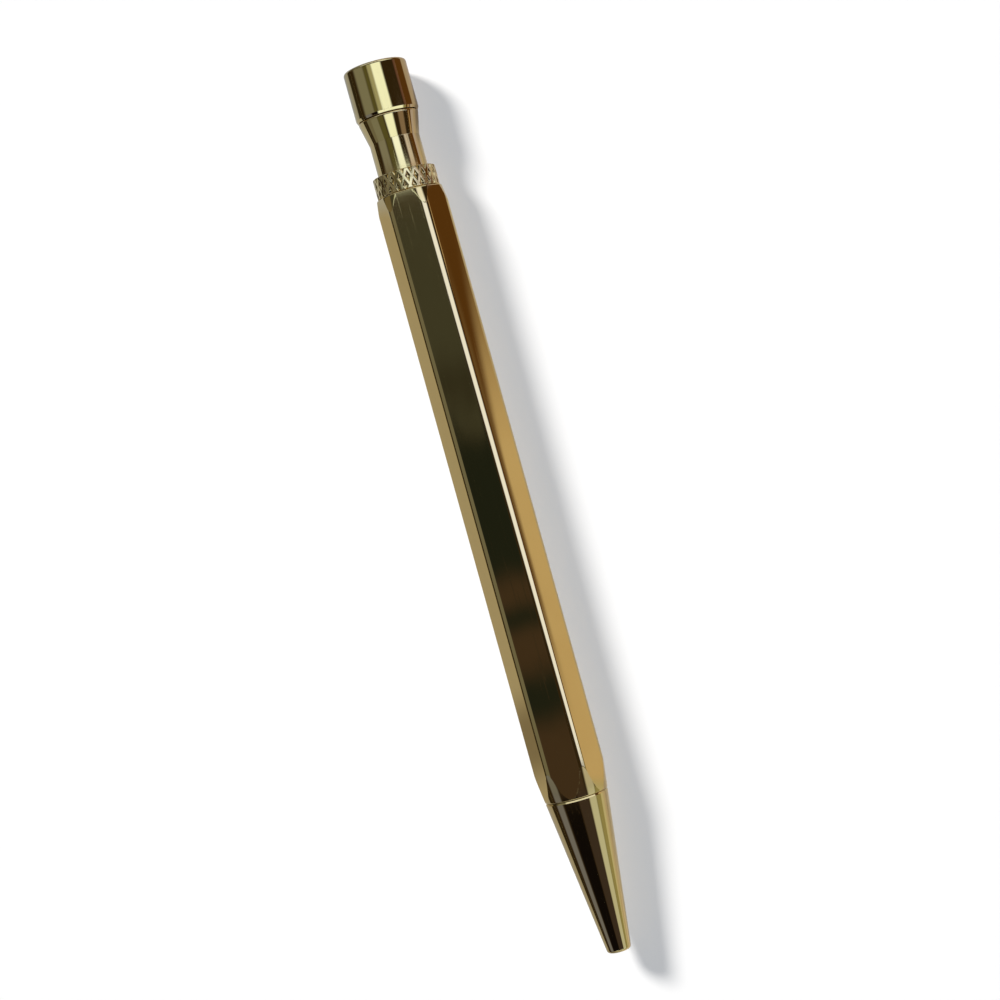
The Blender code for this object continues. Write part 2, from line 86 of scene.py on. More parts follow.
class Value:
    """A node's output that takes part in Python arithmetic."""

    def __init__(self, graph: "Graph", socket: bpy.types.NodeSocket) -> None:
        """Wraps one output socket of a graph."""
        self.graph = graph
        self.socket = socket

    def output(self, name: str) -> "Value":
        """Gives another output of the same node."""
        return Value(self.graph, self.socket.node.outputs[name])

    def math(self, operation: str, *others: Operand) -> "Value":
        """Adds a Math node whose first operand is this value.

        Args:
            operation: The Math node's operation.
            others: The operands after the first.

        Returns:
            The node's result.
        """
        sockets: dict[int, Operand] = {0: self}
        sockets.update({index + 1: other for index, other in enumerate(others)})
        return self.graph.node("ShaderNodeMath", {"operation": operation}, sockets)

    def _after(self, operation: str, first: float) -> "Value":
        """Adds a Math node whose second operand is this value."""
        return self.graph.node("ShaderNodeMath", {"operation": operation}, {0: first, 1: self})

    def __add__(self, other: Operand) -> "Value":
        """Adds."""
        return self.math("ADD", other)

    def __radd__(self, other: float) -> "Value":
        """Adds, with the number first."""
        return self._after("ADD", other)

    def __sub__(self, other: Operand) -> "Value":
        """Subtracts."""
        return self.math("SUBTRACT", other)

    def __rsub__(self, other: float) -> "Value":
        """Subtracts from a number."""
        return self._after("SUBTRACT", other)

    def __mul__(self, other: Operand) -> "Value":
        """Multiplies."""
        return self.math("MULTIPLY", other)

    def __rmul__(self, other: float) -> "Value":
        """Multiplies, with the number first."""
        return self._after("MULTIPLY", other)

    def __truediv__(self, other: Operand) -> "Value":
        """Divides."""
        return self.math("DIVIDE", other)

    def smooth(self, low: float, high: float) -> "Value":
        """Gives a soft step from 0 at low to 1 at high."""
        return self.graph.node(
            "ShaderNodeMapRange",
            {"interpolation_type": "SMOOTHSTEP"},
            {"Value": self, "From Min": low, "From Max": high},
        )

    def band(self, low: float, high: float, soft: float) -> "Value":
        """Gives 1 from low to high and 0 beside it, with soft ends."""
        return self.smooth(low - soft, low + soft) * (1.0 - self.smooth(high - soft, high + soft))

    def clamp(self) -> "Value":
        """Keeps the value from 0 to 1."""
        return self.math("MINIMUM", 1.0).math("MAXIMUM", 0.0)

    def wave(self) -> "Value":
        """Gives a triangle wave of period 1, with 0 at whole numbers and 1 half way."""
        return 1.0 - (self.math("FRACT") * 2.0 - 1.0).math("ABSOLUTE")


class Graph:
    """A node tree that is written as expressions."""

    def __init__(self, tree: bpy.types.NodeTree) -> None:
        """Empties a tree and keeps it."""
        self.tree = tree
        tree.nodes.clear()

    def node(
        self,
        kind: str,
        settings: dict[str, Any] | None = None,
        sockets: dict[str | int, Any] | None = None,
        output: str | int = 0,
    ) -> Value | None:
        """Adds one node.

        Args:
            kind: The node's type.
            settings: Attributes that are set first, such as a Math node's operation.
            sockets: Numbers, colours or links for the inputs, by name or place.
            output: The output to give back.

        Returns:
            The chosen output, or None for a node that has no outputs.
        """
        made = self.tree.nodes.new(kind)
        for name, setting in (settings or {}).items():
            setattr(made, name, setting)
        for key, value in (sockets or {}).items():
            if isinstance(value, Value):
                self.tree.links.new(value.socket, made.inputs[key])
            else:
                made.inputs[key].default_value = value
        return Value(self, made.outputs[output]) if made.outputs else None

    def parts(self, vector: Value) -> tuple[Value, Value, Value]:
        """Splits a vector into its three numbers."""
        split = self.node("ShaderNodeSeparateXYZ", sockets={0: vector})
        return split, split.output("Y"), split.output("Z")

    def join(self, x: Operand, y: Operand, z: Operand) -> Value:
        """Makes a vector of three numbers."""
        return self.node("ShaderNodeCombineXYZ", sockets={0: x, 1: y, 2: z})

    def noise(self, vector: Value, scale: float, detail: float = 2.0) -> Value:
        """Gives a noise from about 0 to 1, by its grains for each unit of length and its finer layers."""
        return self.node("ShaderNodeTexNoise", sockets={"Vector": vector, "Scale": scale, "Detail": detail})

    def mix(self, factor: Operand, first: Value | Colour, second: Value | Colour) -> Value:
        """Mixes two colours or links to them: a factor of 0 gives the first and 1 the second."""
        ends = [end if isinstance(end, Value) else (*end, 1.0) for end in (first, second)]
        return self.node(
            "ShaderNodeMix", {"data_type": "RGBA"}, {0: factor, 6: ends[0], 7: ends[1]}, output=2
        )

    def bump(self, height: Value, relief: float) -> Value:
        """Gives the normal of a surface with a height from 0 to 1 and its full relief in metres."""
        return self.node("ShaderNodeBump", sockets={"Strength": 1.0, "Distance": relief, "Height": height})

    def around_axis(self, place: Value) -> tuple[Value, Value, Value]:
        """Gives a point in the pen's own terms.

        Args:
            place: A position in the row frame.

        Returns:
            The place along the pen, the distance from its axis, and the turns round it.
        """
        x, y, z = self.parts(place)
        up = z - AXIS_HEIGHT
        reach = (y * y + up * up).math("SQRT")
        return x, reach, up.math("ARCTAN2", y) / math.tau


# Finishes


class Grain(Enum):
    """The way in which a metal surface was worked."""

    DRAWN = "fine lines along the pen"
    TURNED = "fine rings round the pen"
    GROUND = "no direction"


def start_material(name: str) -> tuple[bpy.types.Material, Graph, Value]:
    """Makes an empty node material.

    Args:
        name: The material's name.

    Returns:
        The material, its graph, and the object coordinates.
    """
    material = bpy.data.materials.new(name)
    material.use_nodes = True
    graph = Graph(material.node_tree)
    return material, graph, graph.node("ShaderNodeTexCoord", output="Object")


def close_material(graph: Graph, sockets: dict[str | int, Any]) -> None:
    """Puts a Principled shader with these sockets on the material's surface."""
    shader = graph.node("ShaderNodeBsdfPrincipled", sockets=sockets)
    graph.node("ShaderNodeOutputMaterial", sockets={"Surface": shader})


@dataclass(frozen=True)
class MetalFinish:
    """A worked metal: its grain, handling smears, hairline scratches and brighter edges."""

    name: str
    base: Colour
    deep: Colour
    bright: Colour
    roughness: float
    grain: Grain
    grain_pitch: float = 0.12 * MM
    grain_gain: float = 0.02
    relief: float = 0.0002 * MM
    smear_size: float = 7.0 * MM
    smear_gain: float = 0.03
    fleck_size: float = 0.9 * MM
    tarnish: float = 0.3
    scratch_gain: float = 0.05
    scratch_depth: float = 0.3
    edge_gain: float = 0.45
    edge_polish: float = 0.01

    def lines(self, graph: Graph, place: Value) -> Value:
        """Gives the working marks.

        Args:
            graph: The material's graph.
            place: The object coordinates.

        Returns:
            A height from 0 to 1.
        """
        x, reach, turns = graph.around_axis(place)
        pitch = 1.0 / self.grain_pitch
        if self.grain is Grain.DRAWN:
            _, y, z = graph.parts(place)
            return graph.noise(graph.join(x * (pitch / 90.0), y * pitch, z * pitch), 1.0)
        if self.grain is Grain.TURNED:
            return graph.noise(graph.join((x * 0.8 + reach * 0.6) * pitch, turns * 3.0, 0.0), 1.0)
        return graph.noise(place, pitch)

    def hairlines(self, graph: Graph, place: Value) -> Value:
        """Gives a few thin scratches, 1 on a scratch and 0 beside it."""
        slanted = graph.node(
            "ShaderNodeMapping",
            sockets={"Vector": place, "Rotation": (0.5, 0.12, 0.22), "Scale": (110.0, 5200.0, 5200.0)},
        )
        return graph.noise(slanted, 1.0, 0.0).smooth(0.735, 0.77)

    def material(self) -> bpy.types.Material:
        """Builds the finish.

        Returns:
            The material.
        """
        material, graph, place = start_material(self.name)
        smear = graph.noise(place, 1.0 / self.smear_size, 3.0).smooth(0.38, 0.72)
        fleck = graph.noise(place, 1.0 / self.fleck_size).smooth(0.45, 0.85)
        lines = self.lines(graph, place)
        scratch = self.hairlines(graph, place)
        edge = graph.node("ShaderNodeAttribute", {"attribute_name": "edge"}, output="Fac")
        tone = graph.mix((smear * 0.7 + fleck * 0.3) * self.tarnish, self.base, self.deep)
        tone = graph.mix(edge * self.edge_gain, tone, self.bright)
        roughness = self.roughness + smear * self.smear_gain + lines * self.grain_gain
        roughness = roughness + scratch * self.scratch_gain - edge * self.edge_polish
        close_material(
            graph,
            {
                "Base Color": tone,
                "Metallic": 1.0,
                "Roughness": roughness,
                "Normal": graph.bump(lines - scratch * self.scratch_depth, self.relief),
            },
        )
        return material


@dataclass(frozen=True)
class MouldedFinish:
    """A moulded plastic or rubber: a fine eroded texture with a mottled tone."""

    name: str
    base: Colour
    shade: Colour
    roughness: float
    texture_size: float = 0.09 * MM
    mottle_size: float = 1.6 * MM
    flow_size: float = 5.0 * MM
    relief: float = 0.003 * MM

    def material(self) -> bpy.types.Material:
        """Builds the finish.

        Returns:
            The material.
        """
        material, graph, place = start_material(self.name)
        mottle = graph.noise(place, 1.0 / self.mottle_size, 3.0).smooth(0.3, 0.75)
        texture = graph.noise(place, 1.0 / self.texture_size)
        flow = graph.noise(place, 1.0 / self.flow_size).smooth(0.4, 0.7)
        close_material(
            graph,
            {
                "Base Color": graph.mix(mottle * 0.6 + flow * 0.25, self.base, self.shade),
                "Roughness": self.roughness + texture * 0.16 - flow * 0.05,
                "Normal": graph.bump(texture, self.relief),
            },
        )
        return material


@dataclass(frozen=True)
class PasteFinish:
    """A thick liquid that fills the refill's tube: streaked and glossy."""

    name: str
    base: Colour
    streak: Colour
    roughness: float
    ripple_size: float = 0.8 * MM
    relief: float = 0.01 * MM

    def material(self) -> bpy.types.Material:
        """Builds the finish.

        Returns:
            The material.
        """
        material, graph, place = start_material(self.name)
        x, _, turns = graph.around_axis(place)
        drawn = graph.noise(graph.join(x * 160.0, turns * 14.0, 0.0), 1.0, 3.0).smooth(0.35, 0.75)
        ripple = graph.noise(place, 1.0 / self.ripple_size)
        close_material(
            graph,
            {
                "Base Color": graph.mix(drawn, self.base, self.streak),
                "Roughness": self.roughness + drawn * 0.12,
                "Normal": graph.bump(ripple, self.relief),
                "Coat Weight": 0.4,
            },
        )
        return material


Finish = Union[MetalFinish, MouldedFinish, PasteFinish]

# A metal's base tone, its tarnished tone and its worn tone
GOLD = ((0.76, 0.57, 0.25), (0.68, 0.48, 0.19), (0.84, 0.67, 0.35))
BRASS = ((0.66, 0.50, 0.27), (0.50, 0.36, 0.17), (0.78, 0.64, 0.40))
WIRE_STEEL = ((0.62, 0.62, 0.60), (0.45, 0.45, 0.45), (0.75, 0.75, 0.74))
TUBE_STEEL = ((0.62, 0.62, 0.60), (0.50, 0.50, 0.49), (0.75, 0.75, 0.74))
TIP_STEEL = ((0.62, 0.62, 0.60), (0.48, 0.48, 0.47), (0.78, 0.78, 0.77))
BALL_METAL = ((0.35, 0.35, 0.37), (0.25, 0.25, 0.27), (0.5, 0.5, 0.52))

FINISHES: dict[str, Finish] = {
    "gold_barrel": MetalFinish(
        "polished_gold_barrel", *GOLD, 0.028, Grain.DRAWN, grain_gain=0.008, smear_gain=0.014
    ),
    "gold_knurl": MetalFinish("knurled_gold", *GOLD, 0.06, Grain.TURNED, grain_pitch=0.08 * MM),
    "gold_polished": MetalFinish(
        "turned_gold", *GOLD, 0.026, Grain.TURNED, grain_gain=0.008, smear_gain=0.014
    ),
    "brass_insert": MetalFinish("turned_brass", *BRASS, 0.24, Grain.TURNED, relief=0.002 * MM),
    "spring_steel": MetalFinish("spring_wire", *WIRE_STEEL, 0.26, Grain.GROUND, grain_pitch=0.05 * MM),
    "tube_steel": MetalFinish("drawn_tube", *TUBE_STEEL, 0.22, Grain.DRAWN),
    "tip_steel": MetalFinish("turned_tip", *TIP_STEEL, 0.18, Grain.TURNED, grain_pitch=0.05 * MM),
    "ball_metal": MetalFinish("ground_ball", *BALL_METAL, 0.12, Grain.GROUND, grain_pitch=0.03 * MM),
    "black_rubber": MouldedFinish("seal_rubber", (0.020, 0.020, 0.020), (0.045, 0.045, 0.043), 0.62),
    "white_plastic": MouldedFinish("white_acetal", (0.80, 0.80, 0.76), (0.70, 0.69, 0.64), 0.38),
    "grey_plastic": MouldedFinish("grey_acetal", (0.30, 0.31, 0.32), (0.23, 0.24, 0.25), 0.40),
    "black_plastic": MouldedFinish("black_acetal", (0.030, 0.030, 0.030), (0.055, 0.055, 0.055), 0.36),
    "blue_ink": PasteFinish("paste_ink", (0.008, 0.015, 0.11), (0.015, 0.04, 0.22), 0.18),
    "clear_grease": PasteFinish("follower_grease", (0.60, 0.58, 0.48), (0.70, 0.68, 0.58), 0.22),
}


class FinishRack:
    """Builds each finish once and gives it by the record's slot."""

    def __init__(self) -> None:
        """Starts with no finish built."""
        self._built: dict[str, bpy.types.Material] = {}

    def get(self, slot: str) -> bpy.types.Material:
        """Builds a finish at its first use.

        Args:
            slot: The record's slot.

        Returns:
            The slot's material.
        """
        if slot not in self._built:
            self._built[slot] = FINISHES[slot].material()
        return self._built[slot]


# Meshes


@dataclass(frozen=True)
class Corner:
    """A corner of a turned outline: its place, its radius and how far it is rounded."""

    x: float
    radius: float
    rounding: float = 0.0


def spread(low: float, high: float, steps: int) -> list[float]:
    """Gives numbers from low to high in even steps, with both ends."""
    return [low + (high - low) * step / steps for step in range(steps + 1)]


def millimetres(*corners: tuple[float, ...]) -> list[Corner]:
    """Makes outline corners from (place, radius) or (place, radius, rounding) in millimetres."""
    return [Corner(*(number * MM for number in corner)) for corner in corners]


# How much of a straight a rounding may take, where it shares the straight and where it doesn't
SHARED_ROOM = 0.45
OWN_ROOM = 0.92
# How far beside a rounding its supporting point lies
SUPPORT = 0.03 * MM


def round_corner(before: Corner, corner: Corner, after: Corner, steps: int) -> list[Point]:
    """Replaces a corner by an arc, with a supporting point on the straight at both sides.

    Args:
        before: The corner before it.
        corner: The corner to round.
        after: The corner after it.
        steps: The arc's number of straights.

    Returns:
        The points that stand for the corner.
    """
    here = Vector((corner.x, corner.radius))
    back = Vector((before.x, before.radius)) - here
    ahead = Vector((after.x, after.radius)) - here
    room = min(
        (SHARED_ROOM if beside.rounding else OWN_ROOM) * way.length
        for beside, way in ((before, back), (after, ahead))
    )
    back.normalize()
    ahead.normalize()
    half = back.angle(ahead) / 2
    reach = min(corner.rounding / math.tan(half), room)
    radius = reach * math.tan(half)
    centre = here + (back + ahead).normalized() * (radius / math.sin(half))
    support = min(SUPPORT, room * 0.1)
    start, end = here + back * reach - centre, here + ahead * reach - centre
    sweep = math.pi - 2 * half
    points = [here + back * (reach + support)]
    for angle in spread(0.0, sweep, steps):
        points.append(centre + (start * math.sin(sweep - angle) + end * math.sin(angle)) / math.sin(sweep))
    points.append(here + ahead * (reach + support))
    return [(point.x, point.y) for point in points]


def outline_points(corners: Sequence[Corner], closed: bool, steps: int = 8) -> list[Point]:
    """Turns an outline's corners into points, with its rounded corners as arcs.

    Args:
        corners: The outline's corners in order.
        closed: Whether the last corner joins the first.
        steps: The number of straights in each arc.

    Returns:
        The points as (place, radius).
    """
    points: list[Point] = []
    last = len(corners) - 1
    for index, corner in enumerate(corners):
        if corner.rounding and (closed or 0 < index < last):
            after = corners[(index + 1) % len(corners)]
            points += round_corner(corners[index - 1], corner, after, steps)
        else:
            points.append((corner.x, corner.radius))
    return points


def divide(points: Sequence[Point], low: float, high: float, step: float) -> list[Point]:
    """Adds points to the straights of an outline that lie between two places.

    Args:
        points: The outline's points.
        low: Where the fine part begins.
        high: Where it ends.
        step: The longest straight in it.

    Returns:
        The points with the new ones among them.
    """
    fine: list[Point] = []
    for first, second in zip(points, points[1:]):
        fine.append(first)
        inside = low <= min(first[0], second[0]) and max(first[0], second[0]) <= high
        count = math.ceil(math.dist(first, second) / step) if inside else 1
        for index in range(1, count):
            share = index / count
            fine.append(tuple(a + (b - a) * share for a, b in zip(first, second)))
    return [*fine, points[-1]]


def revolve(
    name: str,
    angles: Sequence[float],
    outline_at: Callable[[float], Sequence[Point]],
    closed: bool,
) -> bpy.types.Mesh:
    """Sets an outline round the pen's axis and skins it.

    Args:
        name: The mesh's name.
        angles: The columns' angles from straight up towards +Y, in radians.
        outline_at: Gives the outline's points at an angle, always as many.
        closed: Whether the outline joins its own start.

    Returns:
        The mesh, closed and with its faces outwards.
    """
    columns = [outline_at(angle) for angle in angles]
    rows = len(columns[0])
    bm = bmesh.new()
    grid = []
    for angle, column in zip(angles, columns):
        y, z = math.sin(angle), math.cos(angle)
        grid.append([bm.verts.new((x, radius * y, AXIS_HEIGHT + radius * z)) for x, radius in column])
    for index, column in enumerate(grid):
        beside = grid[(index + 1) % len(grid)]
        for row in range(rows if closed else rows - 1):
            after = (row + 1) % rows
            bm.faces.new((column[row], column[after], beside[after], beside[row]))
    bmesh.ops.remove_doubles(bm, verts=bm.verts, dist=1e-8)
    bmesh.ops.recalc_face_normals(bm, faces=bm.faces)
    mesh = bpy.data.meshes.new(name)
    bm.to_mesh(mesh)
    bm.free()
    return mesh


def turn(name: str, points: Sequence[Point], closed: bool, segments: int = 160) -> bpy.types.Mesh:
    """Turns one outline of (place, radius) into a mesh; an open outline starts and ends on the axis."""
    angles = [math.tau * index / segments for index in range(segments)]
    return revolve(name, angles, lambda angle: points, closed)


def shade(mesh: bpy.types.Mesh, sharp_degrees: float = 35.0) -> None:
    """Shades a mesh smoothly, apart from its sharp edges.

    Args:
        mesh: The mesh.
        sharp_degrees: The angle from which an edge stays sharp.
    """
    mesh.polygons.foreach_set("use_smooth", [True] * len(mesh.polygons))
    mesh.set_sharp_from_angle(angle=math.radians(sharp_degrees))
    mesh.update()


def mark_edges(mesh: bpy.types.Mesh, weights: Iterable[float]) -> None:
    """Stores how far each vertex lies on an edge that wears, as the attribute that finishes read."""
    attribute = mesh.attributes.new("edge", "FLOAT", "POINT")
    attribute.data.foreach_set("value", list(weights))


def mark_reach(mesh: bpy.types.Mesh, low: float, high: float) -> None:
    """Marks the vertices as worn by their distance from the axis: 0 up to low and 1 from high on."""
    reaches = (math.hypot(vertex.co.y, vertex.co.z - AXIS_HEIGHT) for vertex in mesh.vertices)
    mark_edges(mesh, (min(1.0, max(0.0, (reach - low) / (high - low))) for reach in reaches))


def edge_weights(mesh: bpy.types.Mesh, full_degrees: float = 14.0) -> list[float]:
    """Rates each vertex by how sharply the faces round it bend outwards.

    Args:
        mesh: The mesh.
        full_degrees: The bend at an edge that counts as fully worn.

    Returns:
        One weight from 0 to 1 for each vertex.
    """
    bm = bmesh.new()
    bm.from_mesh(mesh)
    full = math.radians(full_degrees)
    weights = [
        min(1.0, max([0.0, *(edge.calc_face_angle_signed(0.0) for edge in vertex.link_edges)]) / full)
        for vertex in bm.verts
    ]
    bm.free()
    return weights


@dataclass(frozen=True)
class Place:
    """Where a finished piece belongs: its body, the CAD node it stands for and its slot."""

    piece: str
    body: str
    node: str
    slot: str


class Workshop:
    """Hands finished meshes to the frame."""

    def __init__(self, rack: FinishRack) -> None:
        """Keeps the finishes that pieces are dressed in."""
        self.rack = rack
        self.replaced: set[str] = set()

    def hand_over(self, mesh: bpy.types.Mesh, place: Place) -> bpy.types.Object:
        """Makes a mesh into a piece of the pen.

        Args:
            mesh: The finished mesh, in the row frame.
            place: Where it belongs.

        Returns:
            The piece.
        """
        piece = bpy.data.objects.new(place.piece, mesh)
        bpy.context.scene.collection.objects.link(piece)
        mesh.materials.clear()
        mesh.materials.append(self.rack.get(place.slot))
        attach(piece, place.body)
        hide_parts(place.node)
        self.replaced.add(place.node)
        LOG.info("%s: %d faces, rides on %s", place.piece, len(mesh.polygons), place.body)
        return piece

    def finish_turned(self, mesh: bpy.types.Mesh, place: Place) -> None:
        """Marks a turned mesh's outer edges as worn, shades it and hands it over.

        Args:
            mesh: The mesh, in the row frame.
            place: Where it belongs.
        """
        mark_edges(mesh, edge_weights(mesh))
        shade(mesh)
        self.hand_over(mesh, place)

    def dress_nodes(self, nodes: dict[str, bpy.types.Object], record: dict[str, Any]) -> None:
        """Gives every CAD node that still shows the finish of its slot.

        Args:
            nodes: The frame's nodes by name.
            record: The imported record.
        """
        for entry in record["subparts"]:
            if entry["node"] in self.replaced:
                continue
            mesh = nodes[entry["node"]].data
            mesh.materials.clear()
            mesh.materials.append(self.rack.get(entry["material_slot"]))
            LOG.info("%s: carried over in %s", entry["node"], entry["material_slot"])


# Geometry nodes


class Relief(Enum):
    """The patterns that are cut into a turned surface."""

    DIAMOND_KNURL = "crossing ridges with diamond pits between them"
    SCREW_THREAD = "one groove that winds round the axis"


class NodeForm:
    """A geometry node tree with named inputs, used once and turned into a plain mesh."""

    def __init__(self, name: str, numbers: dict[str, float], material: bpy.types.Material) -> None:
        """Makes a tree with one float input for each number.

        Args:
            name: The tree's name.
            numbers: The inputs' values by name.
            material: What the result is dressed in.
        """
        self.tree = bpy.data.node_groups.new(name, "GeometryNodeTree")
        self.graph = Graph(self.tree)
        self.numbers = numbers
        self.material = material
        face = self.tree.interface
        face.new_socket("Geometry", in_out="INPUT", socket_type="NodeSocketGeometry")
        for label in numbers:
            face.new_socket(label, in_out="INPUT", socket_type="NodeSocketFloat")
        face.new_socket("Material", in_out="INPUT", socket_type="NodeSocketMaterial")
        face.new_socket("Geometry", in_out="OUTPUT", socket_type="NodeSocketGeometry")
        self.geometry = self.graph.node("NodeGroupInput")

    def input(self, label: str) -> Value:
        """Gives one of the tree's inputs by its name."""
        return self.geometry.output(label)

    def close(self, geometry: Value) -> None:
        """Ends the tree in Realize Instances and Set Material."""
        real = self.graph.node("GeometryNodeRealizeInstances", sockets={0: geometry})
        dressed = self.graph.node(
            "GeometryNodeSetMaterial", sockets={"Geometry": real, "Material": self.input("Material")}
        )
        self.graph.node("NodeGroupOutput", sockets={0: dressed})

    def run(self, mesh: bpy.types.Mesh) -> bpy.types.Mesh:
        """Applies the tree to a mesh.

        Args:
            mesh: What goes into the tree.

        Returns:
            A plain mesh.
        """
        carrier = bpy.data.objects.new(self.tree.name + "_carrier", mesh)
        modifier = carrier.modifiers.new("form", "NODES")
        modifier.node_group = self.tree
        values: dict[str, Any] = {**self.numbers, "Material": self.material}
        for item in self.tree.interface.items_tree:
            if item.in_out == "INPUT" and item.name in values:
                modifier[item.identifier] = values[item.name]
        bpy.context.scene.collection.objects.link(carrier)
        depsgraph = bpy.context.evaluated_depsgraph_get()
        result = bpy.data.meshes.new_from_object(carrier.evaluated_get(depsgraph))
        carrier.modifiers.clear()
        bpy.data.objects.remove(carrier)
        return result


# How a knurl's ridges and pits share its height
RIDGE_SHARE = 0.28
PIT_SHARE = 0.85
# How steep and how deep a thread's groove is
GROOVE_SLOPE = 1.35
GROOVE_FLOOR = 0.1
# How far under the blank's radius a point still lies on its outer surface
SKIN = 0.02 * MM


def cut_relief(
    mesh: bpy.types.Mesh, relief: Relief, numbers: dict[str, float], material: bpy.types.Material
) -> bpy.types.Mesh:
    """Cuts a pattern into the outer surface of a turned mesh.

    Args:
        mesh: The blank, with fine rows where the pattern goes.
        relief: The pattern.
        numbers: Start, End, Fade, Pitch, Count, Depth and Reach (the blank's radius), in metres.
        material: What the result is dressed in.

    Returns:
        The cut mesh.
    """
    form = NodeForm(relief.name.lower(), numbers, material)
    graph = form.graph
    place = graph.node("GeometryNodeInputPosition")
    x, reach, turns = graph.around_axis(place)
    along = (x - form.input("Start")) / form.input("Pitch")
    if relief is Relief.DIAMOND_KNURL:
        around = turns * form.input("Count")
        crest = (around + along).wave().math("MINIMUM", (around - along).wave())
        crest = 1.0 - crest.smooth(RIDGE_SHARE, PIT_SHARE)
    else:
        around = along - turns * form.input("Count")
        crest = (around.wave() * GROOVE_SLOPE - GROOVE_FLOOR).clamp()
    rise = ((x - form.input("Start")) / form.input("Fade")).clamp()
    fall = ((form.input("End") - x) / form.input("Fade")).clamp()
    outside = (reach - form.input("Reach") + SKIN).math("GREATER_THAN", 0.0)
    cut = (1.0 - crest) * form.input("Depth") * rise * fall * outside * -1.0
    _, y, z = graph.parts(place)
    offset = graph.join(0.0, y / reach * cut, (z - AXIS_HEIGHT) / reach * cut)
    form.close(graph.node("GeometryNodeSetPosition", sockets={"Geometry": form.geometry, "Offset": offset}))
    return form.run(mesh)


# Sub-assemblies


@dataclass
class Assembly:
    """A sub-assembly of the pen, whose pieces are made in a workshop."""

    shop: Workshop

    def build(self) -> None:
        """Builds the pieces in order."""
        raise NotImplementedError


